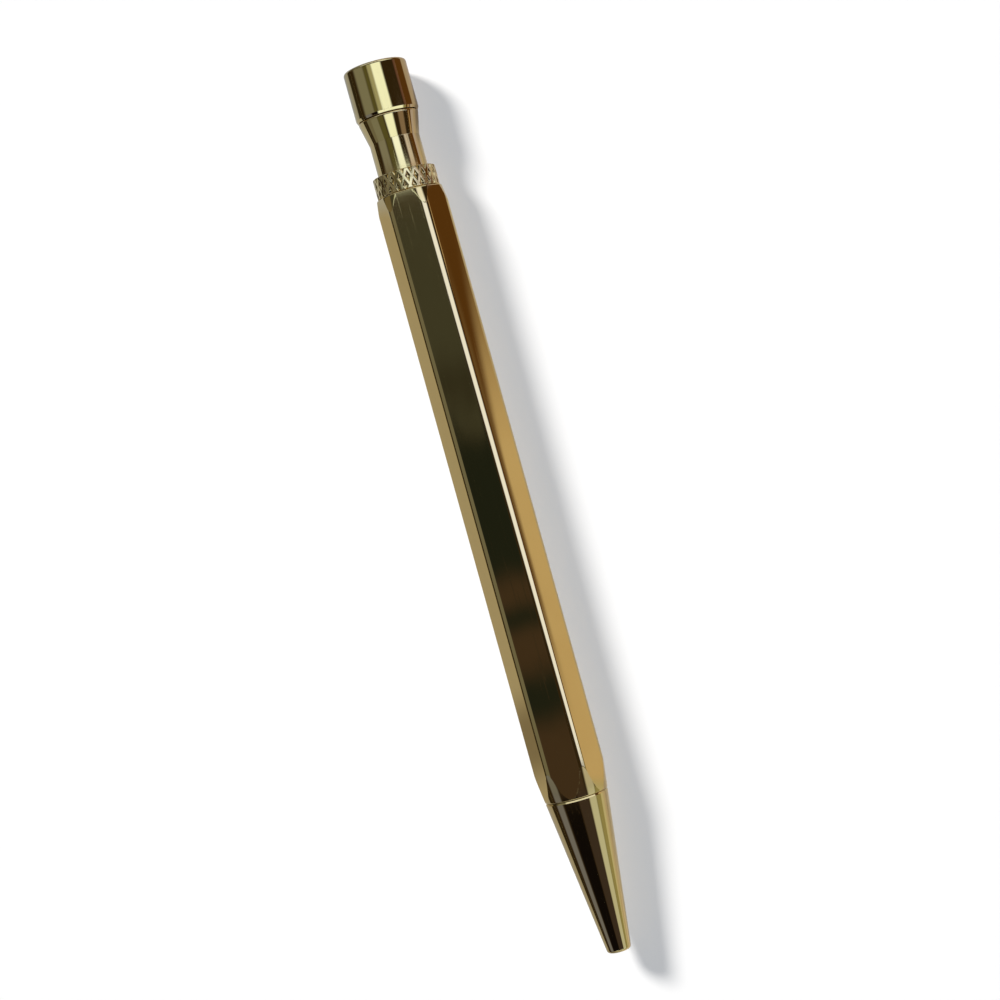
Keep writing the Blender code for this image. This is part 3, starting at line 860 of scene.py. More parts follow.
@dataclass
class Barrel(Assembly):
    """The hexagonal barrel and the knurled collar pressed into its rear end, in metres."""

    rear: float = -48.55 * MM
    front: float = 44.1 * MM
    apothem: float = 4.8 * MM
    edge_radius: float = 1.3 * MM
    bore: float = 4.25 * MM
    bore_lip: float = 0.1 * MM
    rear_radius: float = 4.98 * MM
    rear_taper: float = 2.6 * MM
    rear_soft: float = 0.03 * MM
    front_radius: float = 4.775 * MM
    front_taper: float = 4.5 * MM
    front_soft: float = 0.004 * MM
    rim: float = 0.18 * MM
    flat_steps: int = 26
    edge_steps: int = 14
    end_steps: int = 6
    length_steps: int = 24
    collar_rear: float = -51.65 * MM
    collar_front: float = -43.45 * MM
    bush_rear: float = -45.85 * MM
    collar_radius: float = 4.75 * MM
    collar_edge: float = 0.12 * MM
    seat_gap: float = 0.05 * MM
    neck_bore: float = 3.87 * MM
    bush_bore: float = 3.41 * MM
    spigot_radius: float = 4.21 * MM
    knurl_depth: float = 0.18 * MM
    knurl_bands: float = 1.2
    knurl_count: int = 24
    knurl_row: float = 0.045 * MM

    @property
    def corner_reach(self) -> float:
        """The distance from the axis to the middle of a rounded edge."""
        return (self.apothem - self.edge_radius) / math.cos(math.pi / 6) + self.edge_radius

    @property
    def flat_half_angle(self) -> float:
        """Half the angle that a flat takes up before its edge begins to round."""
        half_width = (self.apothem - self.edge_radius) * math.tan(math.pi / 6)
        return math.atan2(half_width, self.apothem)

    def hexagon(self, angle: float) -> float:
        """Follows the rounded hexagon.

        Args:
            angle: The angle from the middle of a flat.

        Returns:
            The hexagon's radius there.
        """
        off = abs((angle + math.pi / 6) % (math.pi / 3) - math.pi / 6)
        if off <= self.flat_half_angle:
            return self.apothem / math.cos(off)
        centre = (self.apothem - self.edge_radius) / math.cos(math.pi / 6)
        beside = math.pi / 6 - off
        rest = self.edge_radius**2 - (centre * math.sin(beside)) ** 2
        return min(centre * math.cos(beside) + math.sqrt(rest), self.corner_reach)

    def columns(self) -> list[float]:
        """Places the mesh's columns, close together on the rounded edges.

        Returns:
            The columns' angles.
        """
        flat = self.flat_half_angle
        inner = flat - math.radians(0.5)
        offs = spread(-inner, inner, self.flat_steps) + spread(flat, math.pi / 3 - flat, self.edge_steps)
        return [side * math.pi / 3 + off for side in range(6) for off in offs]

    def end_rows(self, radius: float, end_radius: float, taper: float, soft: float) -> list[Point]:
        """Gives one column's points from an end face to the plain length.

        Args:
            radius: The hexagon's radius in that column.
            end_radius: The radius that the end is turned down to.
            taper: How far from the end the turning leaves the rounded edges.
            soft: How far the crease between the turning and the flat is softened.

        Returns:
            Points as (distance from the end, radius).
        """
        slope = (self.corner_reach - end_radius) / taper
        crease = max((radius - end_radius) / slope, 1.2 * self.rim)
        soft = min(soft, (crease - self.rim) / 3)
        end = crease - 2 * soft
        near = self.rim + min(0.3 * self.rim, (end - self.rim) / 8)
        places = [self.rim * share for share in (0.0, 0.08, 0.3, 0.6, 1.0)]
        places += spread(near, end, self.end_steps)
        places += [crease - soft, crease, crease + soft]
        places += spread(crease + 2 * soft, taper + 0.7 * MM, self.end_steps)
        blend = 2 * soft * slope
        rows = []
        for place in places:
            cone = end_radius + slope * place
            overlap = max(blend - abs(cone - radius), 0.0) / blend
            left = max(1.0 - place / self.rim, 0.0)
            rounding = self.rim * (1.0 - math.sqrt(1.0 - left * left))
            rows.append((place, min(cone, radius) - overlap**2 * blend / 4 - rounding))
        return rows

    def outline_at(self, angle: float) -> list[Point]:
        """Gives the closed outline of the barrel's wall.

        Args:
            angle: The angle from the middle of a flat.

        Returns:
            The outline's points as (place, radius).
        """
        radius = self.hexagon(angle)
        rear = self.end_rows(radius, self.rear_radius, self.rear_taper, self.rear_soft)
        front = self.end_rows(radius, self.front_radius, self.front_taper, self.front_soft)
        length = self.front - self.rear
        middle = spread(rear[-1][0], length - front[-1][0], self.length_steps)[1:-1]
        outer = rear + [(place, radius) for place in middle]
        outer += [(length - place, reach) for place, reach in reversed(front)]
        lip = self.bore_lip
        mouth = [(0.0, self.bore + lip), (lip, self.bore), (3 * lip, self.bore)]
        inner = [(length - place, reach) for place, reach in mouth] + mouth[::-1]
        return [(self.rear + place, reach) for place, reach in outer + inner]

    def build_barrel(self) -> None:
        """Builds the barrel, worn along its rounded edges."""
        mesh = revolve("barrel_shell", self.columns(), self.outline_at, True)
        shade(mesh)
        rise = self.corner_reach - self.apothem
        mark_reach(mesh, self.apothem + 0.72 * rise, self.apothem + 0.92 * rise)
        self.shop.hand_over(mesh, Place("barrel_shell", "barrel", "barrel", "gold_barrel"))

    def build_collar(self) -> None:
        """Builds the collar and cuts its diamond knurl."""
        rear, front = self.collar_rear, self.rear - self.seat_gap
        corners = (
            Corner(rear, self.neck_bore, 0.06 * MM),
            Corner(rear, self.collar_radius, self.collar_edge),
            Corner(front, self.collar_radius, self.collar_edge),
            Corner(front, self.spigot_radius),
            Corner(self.collar_front, self.spigot_radius, 0.08 * MM),
            Corner(self.collar_front, self.bush_bore),
            Corner(self.bush_rear, self.bush_bore),
            Corner(self.bush_rear, self.neck_bore),
        )
        margin = 0.1 * MM
        points = divide(outline_points(corners, True), rear + margin, front - margin, self.knurl_row)
        numbers = {
            "Start": rear,
            "End": front,
            "Fade": self.collar_edge,
            "Pitch": (self.rear - rear) / self.knurl_bands,
            "Count": float(self.knurl_count),
            "Depth": self.knurl_depth,
            "Reach": self.collar_radius,
        }
        blank = turn("collar_blank", points, True, segments=self.knurl_count * 32)
        mesh = cut_relief(blank, Relief.DIAMOND_KNURL, numbers, self.shop.rack.get("gold_knurl"))
        shade(mesh, 50.0)
        mark_reach(mesh, self.collar_radius - self.knurl_depth, self.collar_radius)
        self.shop.hand_over(mesh, Place("collar_knurl", "barrel", "knurled_collar", "gold_knurl"))

    def build(self) -> None:
        """Builds the barrel and its collar."""
        self.build_barrel()
        self.build_collar()


@dataclass
class Button(Assembly):
    """The push button: a round head on a waisted stem, in millimetres."""

    head_rear: float = -68.0
    head_front: float = -60.3
    head_radius: float = 4.775
    head_rounding: float = 0.42
    lip_length: float = 0.38
    lip_depth: float = 0.165
    peg_radius: float = 2.4
    peg_front: float = -55.3
    waist_radius: float = 4.6
    neck_rear: float = -56.6
    neck_radius: float = 3.8
    neck_end: float = -50.65
    stem_radius: float = 2.7
    stem_front: float = -43.05
    seat_gap: float = 0.05
    fit_gap: float = 0.04
    tail_bore: float = 1.99
    tail_length: float = 4.5

    def build_head(self) -> None:
        """Builds the head with its hidden peg."""
        corners = millimetres(
            (self.head_rear, 0.0),
            (self.head_rear, self.head_radius, self.head_rounding),
            (self.head_front - self.lip_length, self.head_radius, 0.04),
            (self.head_front, self.head_radius - self.lip_depth, 0.04),
            (self.head_front, self.peg_radius),
            (self.peg_front, self.peg_radius, 0.2),
            (self.peg_front, 0.0),
        )
        mesh = turn("head_cap", outline_points(corners, False), False)
        self.shop.finish_turned(mesh, Place("head_cap", "button", "button_head", "gold_polished"))

    def build_stem(self) -> None:
        """Builds the waisted stem, bored at both ends for the head's peg and the cam's tail."""
        peg_front, waist_rear = self.peg_front + self.seat_gap, self.head_front + self.seat_gap
        peg_bore = self.peg_radius + self.fit_gap
        tail_rear = self.stem_front - self.tail_length - self.seat_gap
        corners = millimetres(
            (peg_front, 0.0),
            (peg_front, peg_bore),
            (waist_rear, peg_bore),
            (waist_rear, self.waist_radius, 0.26),
            (self.neck_rear, self.neck_radius, 0.15),
            (self.neck_end, self.neck_radius, 0.12),
            (self.neck_end, self.stem_radius),
            (self.stem_front, self.stem_radius, 0.12),
            (self.stem_front, self.tail_bore),
            (tail_rear, self.tail_bore),
            (tail_rear, 0.0),
        )
        mesh = turn("waist_stem", outline_points(corners, False), False)
        self.shop.finish_turned(mesh, Place("waist_stem", "button", "button_stem", "gold_polished"))

    def build(self) -> None:
        """Builds the head and the stem."""
        self.build_head()
        self.build_stem()


@dataclass
class Nose(Assembly):
    """The screwed-on nose cone with its seal ring and the return spring, in millimetres."""

    rim: float = 44.15
    front: float = 68.0
    rim_radius: float = 4.775
    chamfer: float = 0.22
    chamfer_depth: float = 0.154
    cone_start: float = 0.027
    tip_radius: float = 1.8
    mouth_radius: float = 1.3
    mouth_rear: float = 61.8
    neck_bore: float = 1.65
    spring_bore: float = 2.35
    tube_bore: float = 3.1
    tube_bore_front: float = 52.8
    spigot_rear: float = 35.6
    spigot_radius: float = 3.55
    spigot_edge: float = 0.1
    thread_pitch: float = 0.75
    thread_depth: float = 0.24
    thread_lead: float = 0.25
    thread_end_gap: float = 0.1
    thread_fade: float = 0.6
    thread_row: float = 0.075
    seal_rear: float = 43.25
    seal_width: float = 0.8
    seal_gap: float = 0.04
    moulding_line: float = 0.06
    moulding_depth: float = 0.04
    spring_rear: float = 48.0
    spring_seat: float = 57.4
    spring_end_gap: float = 0.15
    spring_radius: float = 2.2
    wire_radius: float = 0.2
    wire_sides: int = 14
    spring_turns: float = 8.0
    turn_steps: int = 48
    end_closing: float = 0.085
    press_travel: float = 4.5

    def build_cone(self) -> None:
        """Builds the cone, stepped inside, and cuts the thread on its spigot."""
        corners = millimetres(
            (self.rim, self.rim_radius - self.chamfer_depth, 0.02),
            (self.rim + self.chamfer, self.rim_radius - self.cone_start, 0.02),
            (self.front, self.tip_radius, 0.5),
            (self.front, self.mouth_radius),
            (self.mouth_rear, self.mouth_radius),
            (self.mouth_rear, self.neck_bore),
            (self.spring_seat, self.neck_bore),
            (self.spring_seat, self.spring_bore),
            (self.tube_bore_front, self.spring_bore),
            (self.tube_bore_front, self.tube_bore),
            (self.spigot_rear, self.tube_bore),
            (self.spigot_rear, self.spigot_radius, self.spigot_edge),
            (self.rim, self.spigot_radius),
        )
        fine_rear, fine_front = (self.spigot_rear + self.spigot_edge) * MM, (self.rim + 0.01) * MM
        points = divide(outline_points(corners, True), fine_rear, fine_front, self.thread_row * MM)
        numbers = {
            "Start": (self.spigot_rear + self.thread_lead) * MM,
            "End": (self.seal_rear - self.thread_end_gap) * MM,
            "Fade": self.thread_fade * MM,
            "Pitch": self.thread_pitch * MM,
            "Count": 1.0,
            "Depth": self.thread_depth * MM,
            "Reach": self.spigot_radius * MM,
        }
        blank = turn("nose_blank", points, True, segments=192)
        mesh = cut_relief(blank, Relief.SCREW_THREAD, numbers, self.shop.rack.get("gold_polished"))
        self.shop.finish_turned(mesh, Place("nose_shell", "nose", "nose_cone", "gold_polished"))

    def build_seal(self) -> None:
        """Builds the seal ring behind the cone's rim, with a moulding line round it."""
        low, high = self.seal_rear, self.seal_rear + self.seal_width
        box_low, box_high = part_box("nose_seal_ring")
        outer = (box_high.z - box_low.z) / 2 / MM
        inner = self.spigot_radius + self.seal_gap
        middle = (low + high) / 2
        corners = millimetres(
            (low, inner, 0.08),
            (low, outer, 0.24),
            (middle - self.moulding_line, outer),
            (middle, outer - self.moulding_depth),
            (middle + self.moulding_line, outer),
            (high, outer, 0.24),
            (high, inner, 0.08),
        )
        mesh = turn("seal_ring", outline_points(corners, True), True, segments=128)
        shade(mesh)
        self.shop.hand_over(mesh, Place("seal_ring", "nose_carriage", "nose_seal_ring", "black_rubber"))

    def wind_spring(self) -> NodeForm:
        """Makes the node tree that winds the spring, with its turns closer together at both ends.

        Returns:
            The tree.
        """
        margin = self.wire_radius + self.spring_end_gap
        numbers = {
            "Turns": self.spring_turns,
            "Coil Radius": (self.spring_radius - self.wire_radius) * MM,
            "Wire Radius": self.wire_radius * MM,
            "Length": (self.spring_seat - self.spring_rear - 2 * margin) * MM,
            "Start": (self.spring_rear + margin) * MM,
            "Closing": self.end_closing,
        }
        form = NodeForm("spring_coil", numbers, self.shop.rack.get("spring_steel"))
        graph = form.graph
        line = graph.node(
            "GeometryNodeCurvePrimitiveLine", sockets={"Start": (0.0, 0.0, 0.0), "End": (1.0, 0.0, 0.0)}
        )
        count = int(self.turn_steps * self.spring_turns) + 1
        fine = graph.node("GeometryNodeResampleCurve", sockets={"Curve": line, "Count": count})
        share, _, _ = graph.parts(graph.node("GeometryNodeInputPosition"))
        angle = share * form.input("Turns") * math.tau
        along = share - (share * math.tau).math("SINE") * form.input("Closing")
        coil = form.input("Coil Radius")
        wound = graph.join(
            form.input("Start") + along * form.input("Length"),
            angle.math("COSINE") * coil,
            angle.math("SINE") * coil + AXIS_HEIGHT,
        )
        path = graph.node("GeometryNodeSetPosition", sockets={"Geometry": fine, "Position": wound})
        section = graph.node(
            "GeometryNodeCurvePrimitiveCircle",
            sockets={"Resolution": self.wire_sides, "Radius": form.input("Wire Radius")},
        )
        wire = graph.node(
            "GeometryNodeCurveToMesh", sockets={"Curve": path, "Profile Curve": section, "Fill Caps": True}
        )
        form.close(wire)
        return form

    def build_spring(self) -> None:
        """Builds the return spring and gives the piece its own copy of the mesh; in the real pen it
        shortens when the button is pressed.
        """
        mesh = self.wind_spring().run(bpy.data.meshes.new("spring_start"))
        shade(mesh, 60.0)
        place = Place("spring_coil", "nose_carriage", "return_spring", "spring_steel")
        piece = self.shop.hand_over(mesh, place)
        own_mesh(piece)

    def build(self) -> None:
        """Builds the cone, the seal ring and the spring."""
        self.build_cone()
        self.build_seal()
        self.build_spring()


@dataclass
class Refill(Assembly):
    """The refill's writing end: its tip and ball, in millimetres."""

    tip_rear: float = 57.05
    tip_radius: float = 1.15
    cone_rear: float = 64.25
    tip_rim: float = 66.65
    rim_wall: float = 0.12
    shank_rear: float = 54.0
    shank_radius: float = 0.9
    channel_radius: float = 0.35
    ball_radius: float = 0.5
    ball_front: float = 67.0
    ball_steps: int = 32
    clearance: float = 0.07

    def build_tip(self) -> None:
        """Builds the tip with its shank, ink channel and the socket for the ball."""
        socket = self.ball_radius + self.clearance
        socket_rear = self.ball_front - 2 * self.ball_radius - self.clearance
        corners = millimetres(
            (self.tip_rear, self.shank_radius),
            (self.tip_rear, self.tip_radius, 0.12),
            (self.cone_rear, self.tip_radius, 0.5),
            (self.tip_rim, socket + self.rim_wall, 0.05),
            (self.tip_rim, socket),
            (socket_rear, socket),
            (socket_rear, self.channel_radius),
            (self.shank_rear, self.channel_radius),
            (self.shank_rear, self.shank_radius, 0.08),
        )
        mesh = turn("tip_point", outline_points(corners, True), True, segments=96)
        self.shop.finish_turned(mesh, Place("tip_point", "refill", "refill_tip", "tip_steel"))

    def build_ball(self) -> None:
        """Builds the ball, finely enough to look round through a lens."""
        radius = self.ball_radius * MM
        centre = self.ball_front * MM - radius
        points = [
            (centre - radius * math.cos(angle), max(0.0, radius * math.sin(angle)))
            for angle in spread(0.0, math.pi, self.ball_steps)
        ]
        mesh = turn("tip_ball", points, False, segments=2 * self.ball_steps)
        shade(mesh)
        self.shop.hand_over(mesh, Place("tip_ball", "ball", "refill_ball", "ball_metal"))

    def build(self) -> None:
        """Builds the tip and the ball."""
        self.build_tip()
        self.build_ball()


# Studio


@dataclass(frozen=True)
class Zone:
    """The directions along the pen in which one of its surfaces mirrors the studio.

    Attributes:
        rear: The least share along the pen, where the surface faces the camera.
        front: The greatest share.
        bow: How much the share falls off towards the sides of a tapered surface.
        fade: How far the zone's ends fade.
    """

    rear: float
    front: float
    bow: float = 0.0
    fade: float = 0.004


@dataclass(frozen=True)
class Panel:
    """A card or soft light round the pen that its metal mirrors.

    Attributes:
        low: Where it begins, in degrees round the pen from straight up, positive towards +Y.
        high: Where it ends.
        zone: Where it lies along the pen.
        colour: Its light.
        soft: How far its long sides fade, in degrees.
        lean: How many degrees it turns for each unit of share along the pen.
        ragged: How far its ends are drawn out in streaks.
    """

    low: float
    high: float
    zone: Zone
    colour: Colour
    soft: float = 4.0
    lean: float = 0.0
    ragged: float = 0.0

    def mask(self, degrees: Value, along: Value, swing: Value, streaks: Value) -> Value:
        """Gives 1 on the panel and 0 beside it.

        Args:
            degrees: A direction's angle round the pen.
            along: Its share along the pen.
            swing: How far it is turned away from the camera, 0 to 1.
            streaks: A noise of thin streaks along the pen, 0 to 1.

        Returns:
            The mask.
        """
        zone = self.zone
        turned = degrees - along * self.lean
        share = along + swing * zone.bow if zone.bow else along
        share = share + (streaks - 0.5) * self.ragged if self.ragged else share
        return turned.band(self.low, self.high, self.soft) * share.band(zone.rear, zone.front, zone.fade)


RIM = Zone(-0.88, -0.68, bow=-0.866, fade=0.02)
REAR_END = Zone(-0.45, -0.37, bow=-0.272, fade=0.01)
HEAD = Zone(-0.295, -0.1785)
NECK = Zone(-0.1785, -0.1575, fade=0.003)
COLLAR = Zone(-0.1575, -0.1485, fade=0.002)
BARREL = Zone(-0.1485, 0.17)
WAIST = Zone(0.19, 0.29, bow=0.419)
FRONT_END = Zone(0.33, 0.380, bow=0.244, fade=0.0015)
NOSE = Zone(0.380, 0.60, bow=0.244, fade=0.0015)
LIP = Zone(0.565, 0.61, bow=0.61)
REAR_ROOM = Zone(-1.2, -0.45, fade=0.015)
FRONT_ROOM = Zone(0.60, 1.2, fade=0.02)

DARK = (0.034, 0.024, 0.012)
WALL = (0.23, 0.26, 0.26)
WALL_END = (0.11, 0.115, 0.05)
WINDOW = (1.15, 1.45, 1.80)
WARM_DARK = (0.062, 0.045, 0.036)
COOL_DARK = (0.016, 0.022, 0.020)
OLIVE_DARK = (0.060, 0.068, 0.062)
ROOM_LIGHT = (0.60, 0.68, 0.74)
WHITE = (1.0, 1.0, 1.0)

# The angles at which the barrel's upper flat mirrors the studio
FLAT = (-28, 8)

PANELS: tuple[Panel, ...] = (
    *(Panel(-84, -30, room, WALL, soft=10.0) for room in (REAR_ROOM, FRONT_ROOM)),
    *(Panel(34, 90, room, ROOM_LIGHT, soft=10.0) for room in (REAR_ROOM, FRONT_ROOM)),
    Panel(-60, 60, Zone(-1.2, -0.93, fade=0.03), (0.40, 0.42, 0.42), soft=28.0),
    Panel(-60, 60, Zone(0.68, 1.2, fade=0.06), (0.46, 0.48, 0.48), soft=28.0),
    Panel(-48, 92, RIM, (0.95, 1.1, 1.4)),
    Panel(-95, -62, REAR_END, (0.175, 0.16, 0.11)),
    Panel(-62, 32, REAR_END, OLIVE_DARK),
    Panel(37, 56, REAR_END, (1.02, 1.2, 1.7)),
    Panel(-79, -32, WAIST, WALL),
    Panel(-32, -10, WAIST, WALL_END),
    Panel(-4, 29, WAIST, WINDOW),
    Panel(50, 72, WAIST, (0.27, 0.22, 0.21)),
    Panel(-73, -32, HEAD, WALL, soft=7.0),
    Panel(-32, -20, HEAD, WALL_END),
    Panel(-18, -2, HEAD, (0.41, 0.47, 0.39)),
    Panel(-2, 33, HEAD, WINDOW),
    Panel(82, 95, HEAD, (0.16, 0.09, 0.09)),
    Panel(-70, -32, NECK, (0.25, 0.28, 0.31), soft=6.0),
    Panel(-28, -5, NECK, WALL_END),
    Panel(1, 30, NECK, (1.22, 1.55, 2.2)),
    Panel(56, 76, NECK, (0.72, 0.76, 1.05)),
    Panel(80, 95, NECK, (0.09, 0.052, 0.02)),
    Panel(-79, -12, COLLAR, (0.22, 0.21, 0.19)),
    Panel(-12, 47, COLLAR, (1.25, 1.6, 2.0)),
    Panel(50, 95, COLLAR, (0.60, 0.50, 0.50)),
    Panel(-79, -28, BARREL, (0.18, 0.19, 0.17)),
    Panel(*FLAT, BARREL, WARM_DARK),
    Panel(*FLAT, Zone(-0.147, -0.08, fade=0.02), OLIVE_DARK),
    Panel(*FLAT, Zone(-0.10, -0.037, fade=0.005), OLIVE_DARK, ragged=0.08),
    Panel(*FLAT, Zone(-0.067, -0.050, fade=0.006), (0.038, 0.040, 0.034), ragged=0.06),
    Panel(*FLAT, Zone(-0.037, 0.0, fade=0.005), COOL_DARK, ragged=0.08),
    Panel(*FLAT, Zone(-0.02, 0.036, fade=0.007), COOL_DARK, ragged=0.012),
    Panel(*FLAT, Zone(0.050, 0.060, fade=0.005), COOL_DARK, ragged=0.008),
    Panel(*FLAT, Zone(0.082, 0.104, fade=0.007), COOL_DARK, ragged=0.012),
    Panel(33, 86, Zone(-0.1485, 0.128, fade=0.006), (1.04, 1.22, 1.85), soft=6.0, lean=155.0),
    Panel(-78, -52, FRONT_END, (0.19, 0.22, 0.30)),
    Panel(-46, 44, FRONT_END, WARM_DARK),
    Panel(52, 83, FRONT_END, (0.56, 0.60, 0.66)),
    Panel(-78, -52, NOSE, (0.19, 0.22, 0.36)),
    Panel(-46, 10, NOSE, (0.006, 0.005, 0.006)),
    Panel(12, 48, NOSE, (0.052, 0.042, 0.046)),
    Panel(53, 83, NOSE, (0.60, 0.70, 0.76)),
    Panel(83, 95, NOSE, (0.32, 0.34, 0.20)),
    Panel(-24, 79, LIP, WINDOW),
)


@dataclass(frozen=True)
class Patch:
    """A part of the table top as the pen's metal mirrors it, or a painted pool of light on it, in
    millimetres.

    Attributes:
        rear: Where it begins along the pen.
        front: Where it ends along the pen.
        low: Where it begins across the pen.
        high: Where it ends across the pen.
        colour: Its colour.
        fade: How far its ends fade.
        soft: How far its sides fade.
        lean: How far its sides move across for each millimetre along.
    """

    rear: float
    front: float
    low: float
    high: float
    colour: Colour
    fade: float = 2.0
    soft: float = 1.2
    lean: float = 0.0

    def mask(self, x: Value, y: Value) -> Value:
        """Gives 1 on the patch and 0 beside it, for a place along and across the pen in millimetres."""
        slid = y - x * self.lean
        return slid.band(self.low, self.high, self.soft) * x.band(self.rear, self.front, self.fade)


TABLE = (0.387, 0.369, 0.290)
FAR = 900.0

PATCHES: tuple[Patch, ...] = (
    # left of the pen
    Patch(-FAR, -49, -FAR, 0, (0.34, 0.38, 0.45)),
    Patch(-63, -49, -FAR, 0, (0.42, 0.46, 0.52)),
    Patch(46, FAR, -FAR, 0, (0.36, 0.37, 0.38)),
    Patch(30, 41, -FAR, 0, (0.22, 0.20, 0.15), fade=3.5),
    Patch(-FAR, FAR, -FAR, -35, (0.030, 0.024, 0.014), soft=2.5, lean=0.1),
    Patch(-FAR, -63, -FAR, -26, (0.030, 0.024, 0.014), soft=5.0),
    # right of the pen
    Patch(-FAR, FAR, 2, FAR, (0.10, 0.048, 0.014), soft=3.0),
    Patch(-26, FAR, 2, 27.2, (0.578, 0.495, 0.365), fade=20.0, soft=2.0, lean=0.2),
    Patch(-34, 24, 25.0, 31, (0.15, 0.10, 0.055), fade=14.0, soft=0.9),
    Patch(-62, -53, 2, 28, (0.46, 0.45, 0.60)),
    Patch(-53, -40, 31, 90, (0.44, 0.36, 0.27)),
    Patch(46, FAR, 2, FAR, (0.31, 0.32, 0.19)),
    Patch(46, FAR, 2, 30, (0.54, 0.57, 0.48), soft=4.0),
    Patch(-57, FAR, 2, 16.5, (0.50, 0.47, 0.43)),
    Patch(-FAR, -57, 2, 15, (0.40, 0.37, 0.38)),
    # painted light: a pale patch on the floor where the pen's own shadow falls, which lifts that shadow out
    # of the metal's reflection
    Patch(-57, FAR, 2, 9, (0.86, 0.83, 0.80), soft=1.5),
)


LAMP_DISTANCE = 0.9


@dataclass(frozen=True)
class Lamp:
    """A far lamp that the metal doesn't mirror.

    Attributes:
        name: Its name.
        direction: Where it stands, seen from the pen.
        strength: Its light on a surface that faces it.
        colour: The light's colour.
        degrees: How wide it looks, which softens its shadow.
        shadow: Whether it throws one.
    """

    name: str
    direction: tuple[float, float, float]
    strength: float
    colour: Colour
    degrees: float
    shadow: bool

    def place(self) -> None:
        """Puts the lamp into the scene."""
        light = bpy.data.lights.new(self.name, "SUN")
        light.energy = self.strength
        light.color = self.colour
        light.angle = math.radians(self.degrees)
        light.use_shadow = self.shadow
        direction = Vector(self.direction)
        lamp = bpy.data.objects.new(self.name, light)
        lamp.location = direction.normalized() * LAMP_DISTANCE
        lamp.rotation_mode = "QUATERNION"
        lamp.rotation_quaternion = direction.to_track_quat("Z", "Y")
        lamp.visible_glossy = False
        bpy.context.scene.collection.objects.link(lamp)


LAMPS: tuple[Lamp, ...] = (
    Lamp("key", (-0.668, -0.467, 0.579), 3.01, (1.036, 1.007, 0.970), 13.5, True),
    Lamp("fill", (0.0, 0.0, 1.0), 1.66, (0.967, 0.997, 1.036), 5.0, False),
)


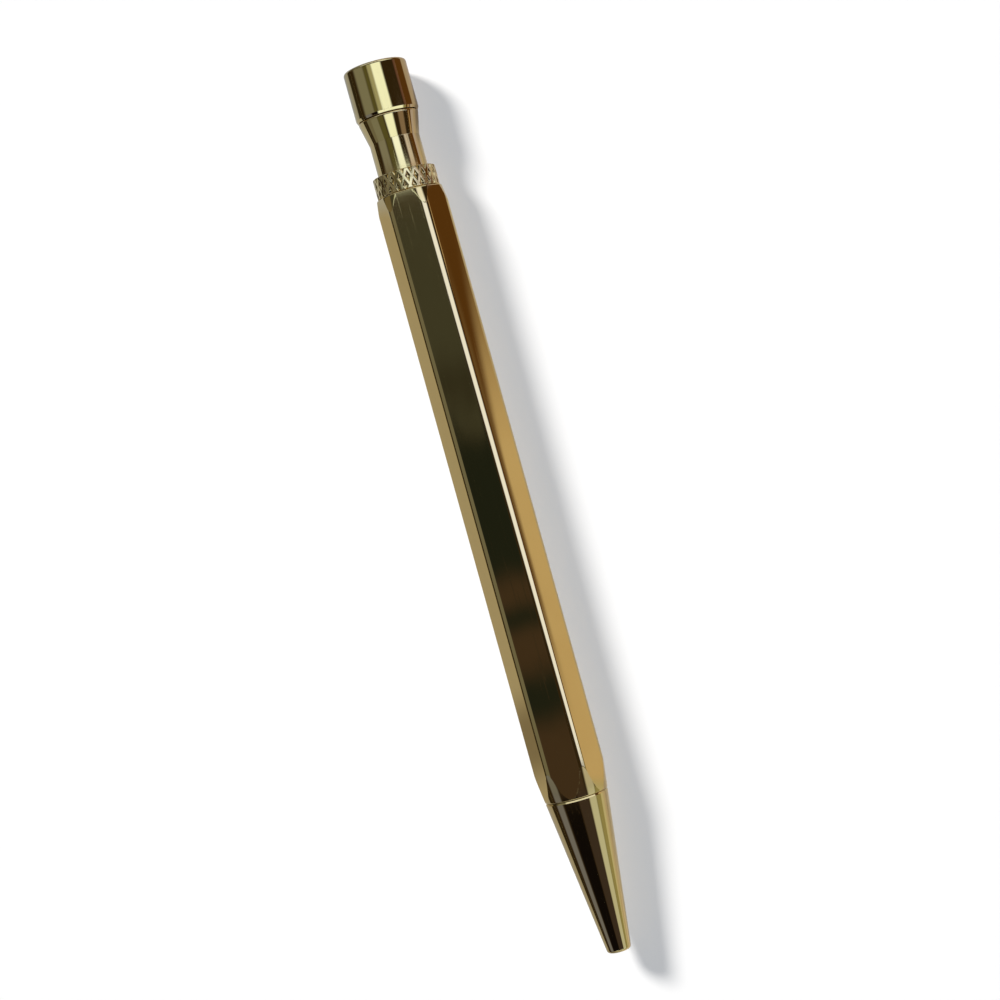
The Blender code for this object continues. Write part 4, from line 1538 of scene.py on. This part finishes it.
@dataclass
class Studio:
    """The floor, the light and the camera."""

    view_lean: float = 9.0
    roll: float = 15.53
    distance: float = 0.3206
    lens: float = 77.8
    target_x: float = -1.1 * MM
    target_side: float = 0.79 * MM
    streak_scale: tuple[float, float] = (8.0, 14.0)
    floor_size: float = 1.5
    floor_drop: float = 0.02 * MM
    floor_colour: Colour = (0.93, 0.93, 0.93)

    def build_world(self) -> None:
        """Paints the dark surroundings that the metal shows, with cards and soft lights at its sides.

        What the metal throws on to the floor stays dark, so that the shadow is even.
        """
        world = bpy.data.worlds.new("studio")
        bpy.context.scene.world = world
        world.use_nodes = True
        world.cycles_visibility.diffuse = False
        graph = Graph(world.node_tree)
        along, y, z = graph.parts(graph.node("ShaderNodeTexCoord", output="Generated"))
        degrees = y.math("ARCTAN2", z) * (180.0 / math.pi)
        swing = 1.0 - ((degrees - self.view_lean) * (math.pi / 360.0)).math("COSINE")
        across_scale, along_scale = self.streak_scale
        streaks = graph.noise(graph.join(degrees * across_scale, along * along_scale, 0.0), 1.0, 3.0)
        light: Value | Colour = DARK
        for panel in PANELS:
            light = graph.mix(panel.mask(degrees, along, swing, streaks), light, panel.colour)
        bounces = graph.node("ShaderNodeLightPath", output="Diffuse Depth")
        light = graph.mix(bounces.smooth(0.0, 1.0), light, DARK)
        rays = graph.node("ShaderNodeLightPath", output="Is Camera Ray")
        seen = graph.mix(rays, light, WHITE)
        shader = graph.node("ShaderNodeBackground", sockets={"Color": seen, "Strength": 1.0})
        graph.node("ShaderNodeOutputWorld", sockets={"Surface": shader})

    def table_colour(self, graph: Graph, place: Value) -> Value:
        """Gives the floor as the metal mirrors it: a table top with darker ends, and painted light where
        the pen's shadow falls on it.

        Args:
            graph: The floor's graph.
            place: The position on it.

        Returns:
            The colour.
        """
        x, y, _ = graph.parts(place)
        x, y = x / MM, y / MM
        colour: Value | Colour = TABLE
        for patch in PATCHES:
            colour = graph.mix(patch.mask(x, y), colour, patch.colour)
        return colour

    def build_floor(self) -> None:
        """Lays the pale floor, which the metal sees as a dimmer table top."""
        mesh = bpy.data.meshes.new("floor")
        bm = bmesh.new()
        bmesh.ops.create_grid(bm, x_segments=8, y_segments=8, size=self.floor_size)
        bmesh.ops.translate(bm, verts=bm.verts, vec=(0.0, 0.0, -self.floor_drop))
        bm.to_mesh(mesh)
        bm.free()
        floor = bpy.data.objects.new("floor", mesh)
        bpy.context.scene.collection.objects.link(floor)
        material, graph, place = start_material("pale_floor")
        rays = graph.node("ShaderNodeLightPath", output="Is Camera Ray")
        colour = graph.mix(rays, self.table_colour(graph, place), self.floor_colour)
        close_material(graph, {"Base Color": colour, "Roughness": 0.9, "Specular IOR Level": 0.0})
        mesh.materials.append(material)

    def build_camera(self) -> None:
        """Sets the camera at the photograph's angle, rolled as the pen lies in it."""
        lean, roll = math.radians(self.view_lean), math.radians(self.roll)
        towards = Vector((0.0, math.sin(lean), math.cos(lean)))
        along = Vector((1.0, 0.0, 0.0))
        across = towards.cross(along)
        right = along * math.sin(roll) + across * math.cos(roll)
        up = towards.cross(right)
        target = Vector((self.target_x, 0.0, AXIS_HEIGHT)) + across * self.target_side
        place = Matrix((right, up, towards)).transposed().to_4x4()
        place.translation = target + towards * self.distance
        data = bpy.data.cameras.new("camera")
        data.lens = self.lens
        data.clip_start = 0.01
        camera = bpy.data.objects.new("camera", data)
        camera.matrix_world = place
        bpy.context.scene.collection.objects.link(camera)
        bpy.context.scene.camera = camera

    def build(self) -> None:
        """Builds the whole studio."""
        bpy.context.scene.view_settings.view_transform = "Standard"
        self.build_world()
        self.build_floor()
        for lamp in LAMPS:
            lamp.place()
        self.build_camera()


def main() -> None:
    """Builds every sub-assembly and the studio."""
    logging.basicConfig(level=logging.INFO, format="%(message)s")
    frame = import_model()
    shop = Workshop(FinishRack())
    for assembly in (Barrel(shop), Button(shop), Nose(shop), Refill(shop)):
        assembly.build()
    shop.dress_nodes(frame["nodes"], frame["record"])
    Studio().build()


if __name__ == "__main__":
    main()
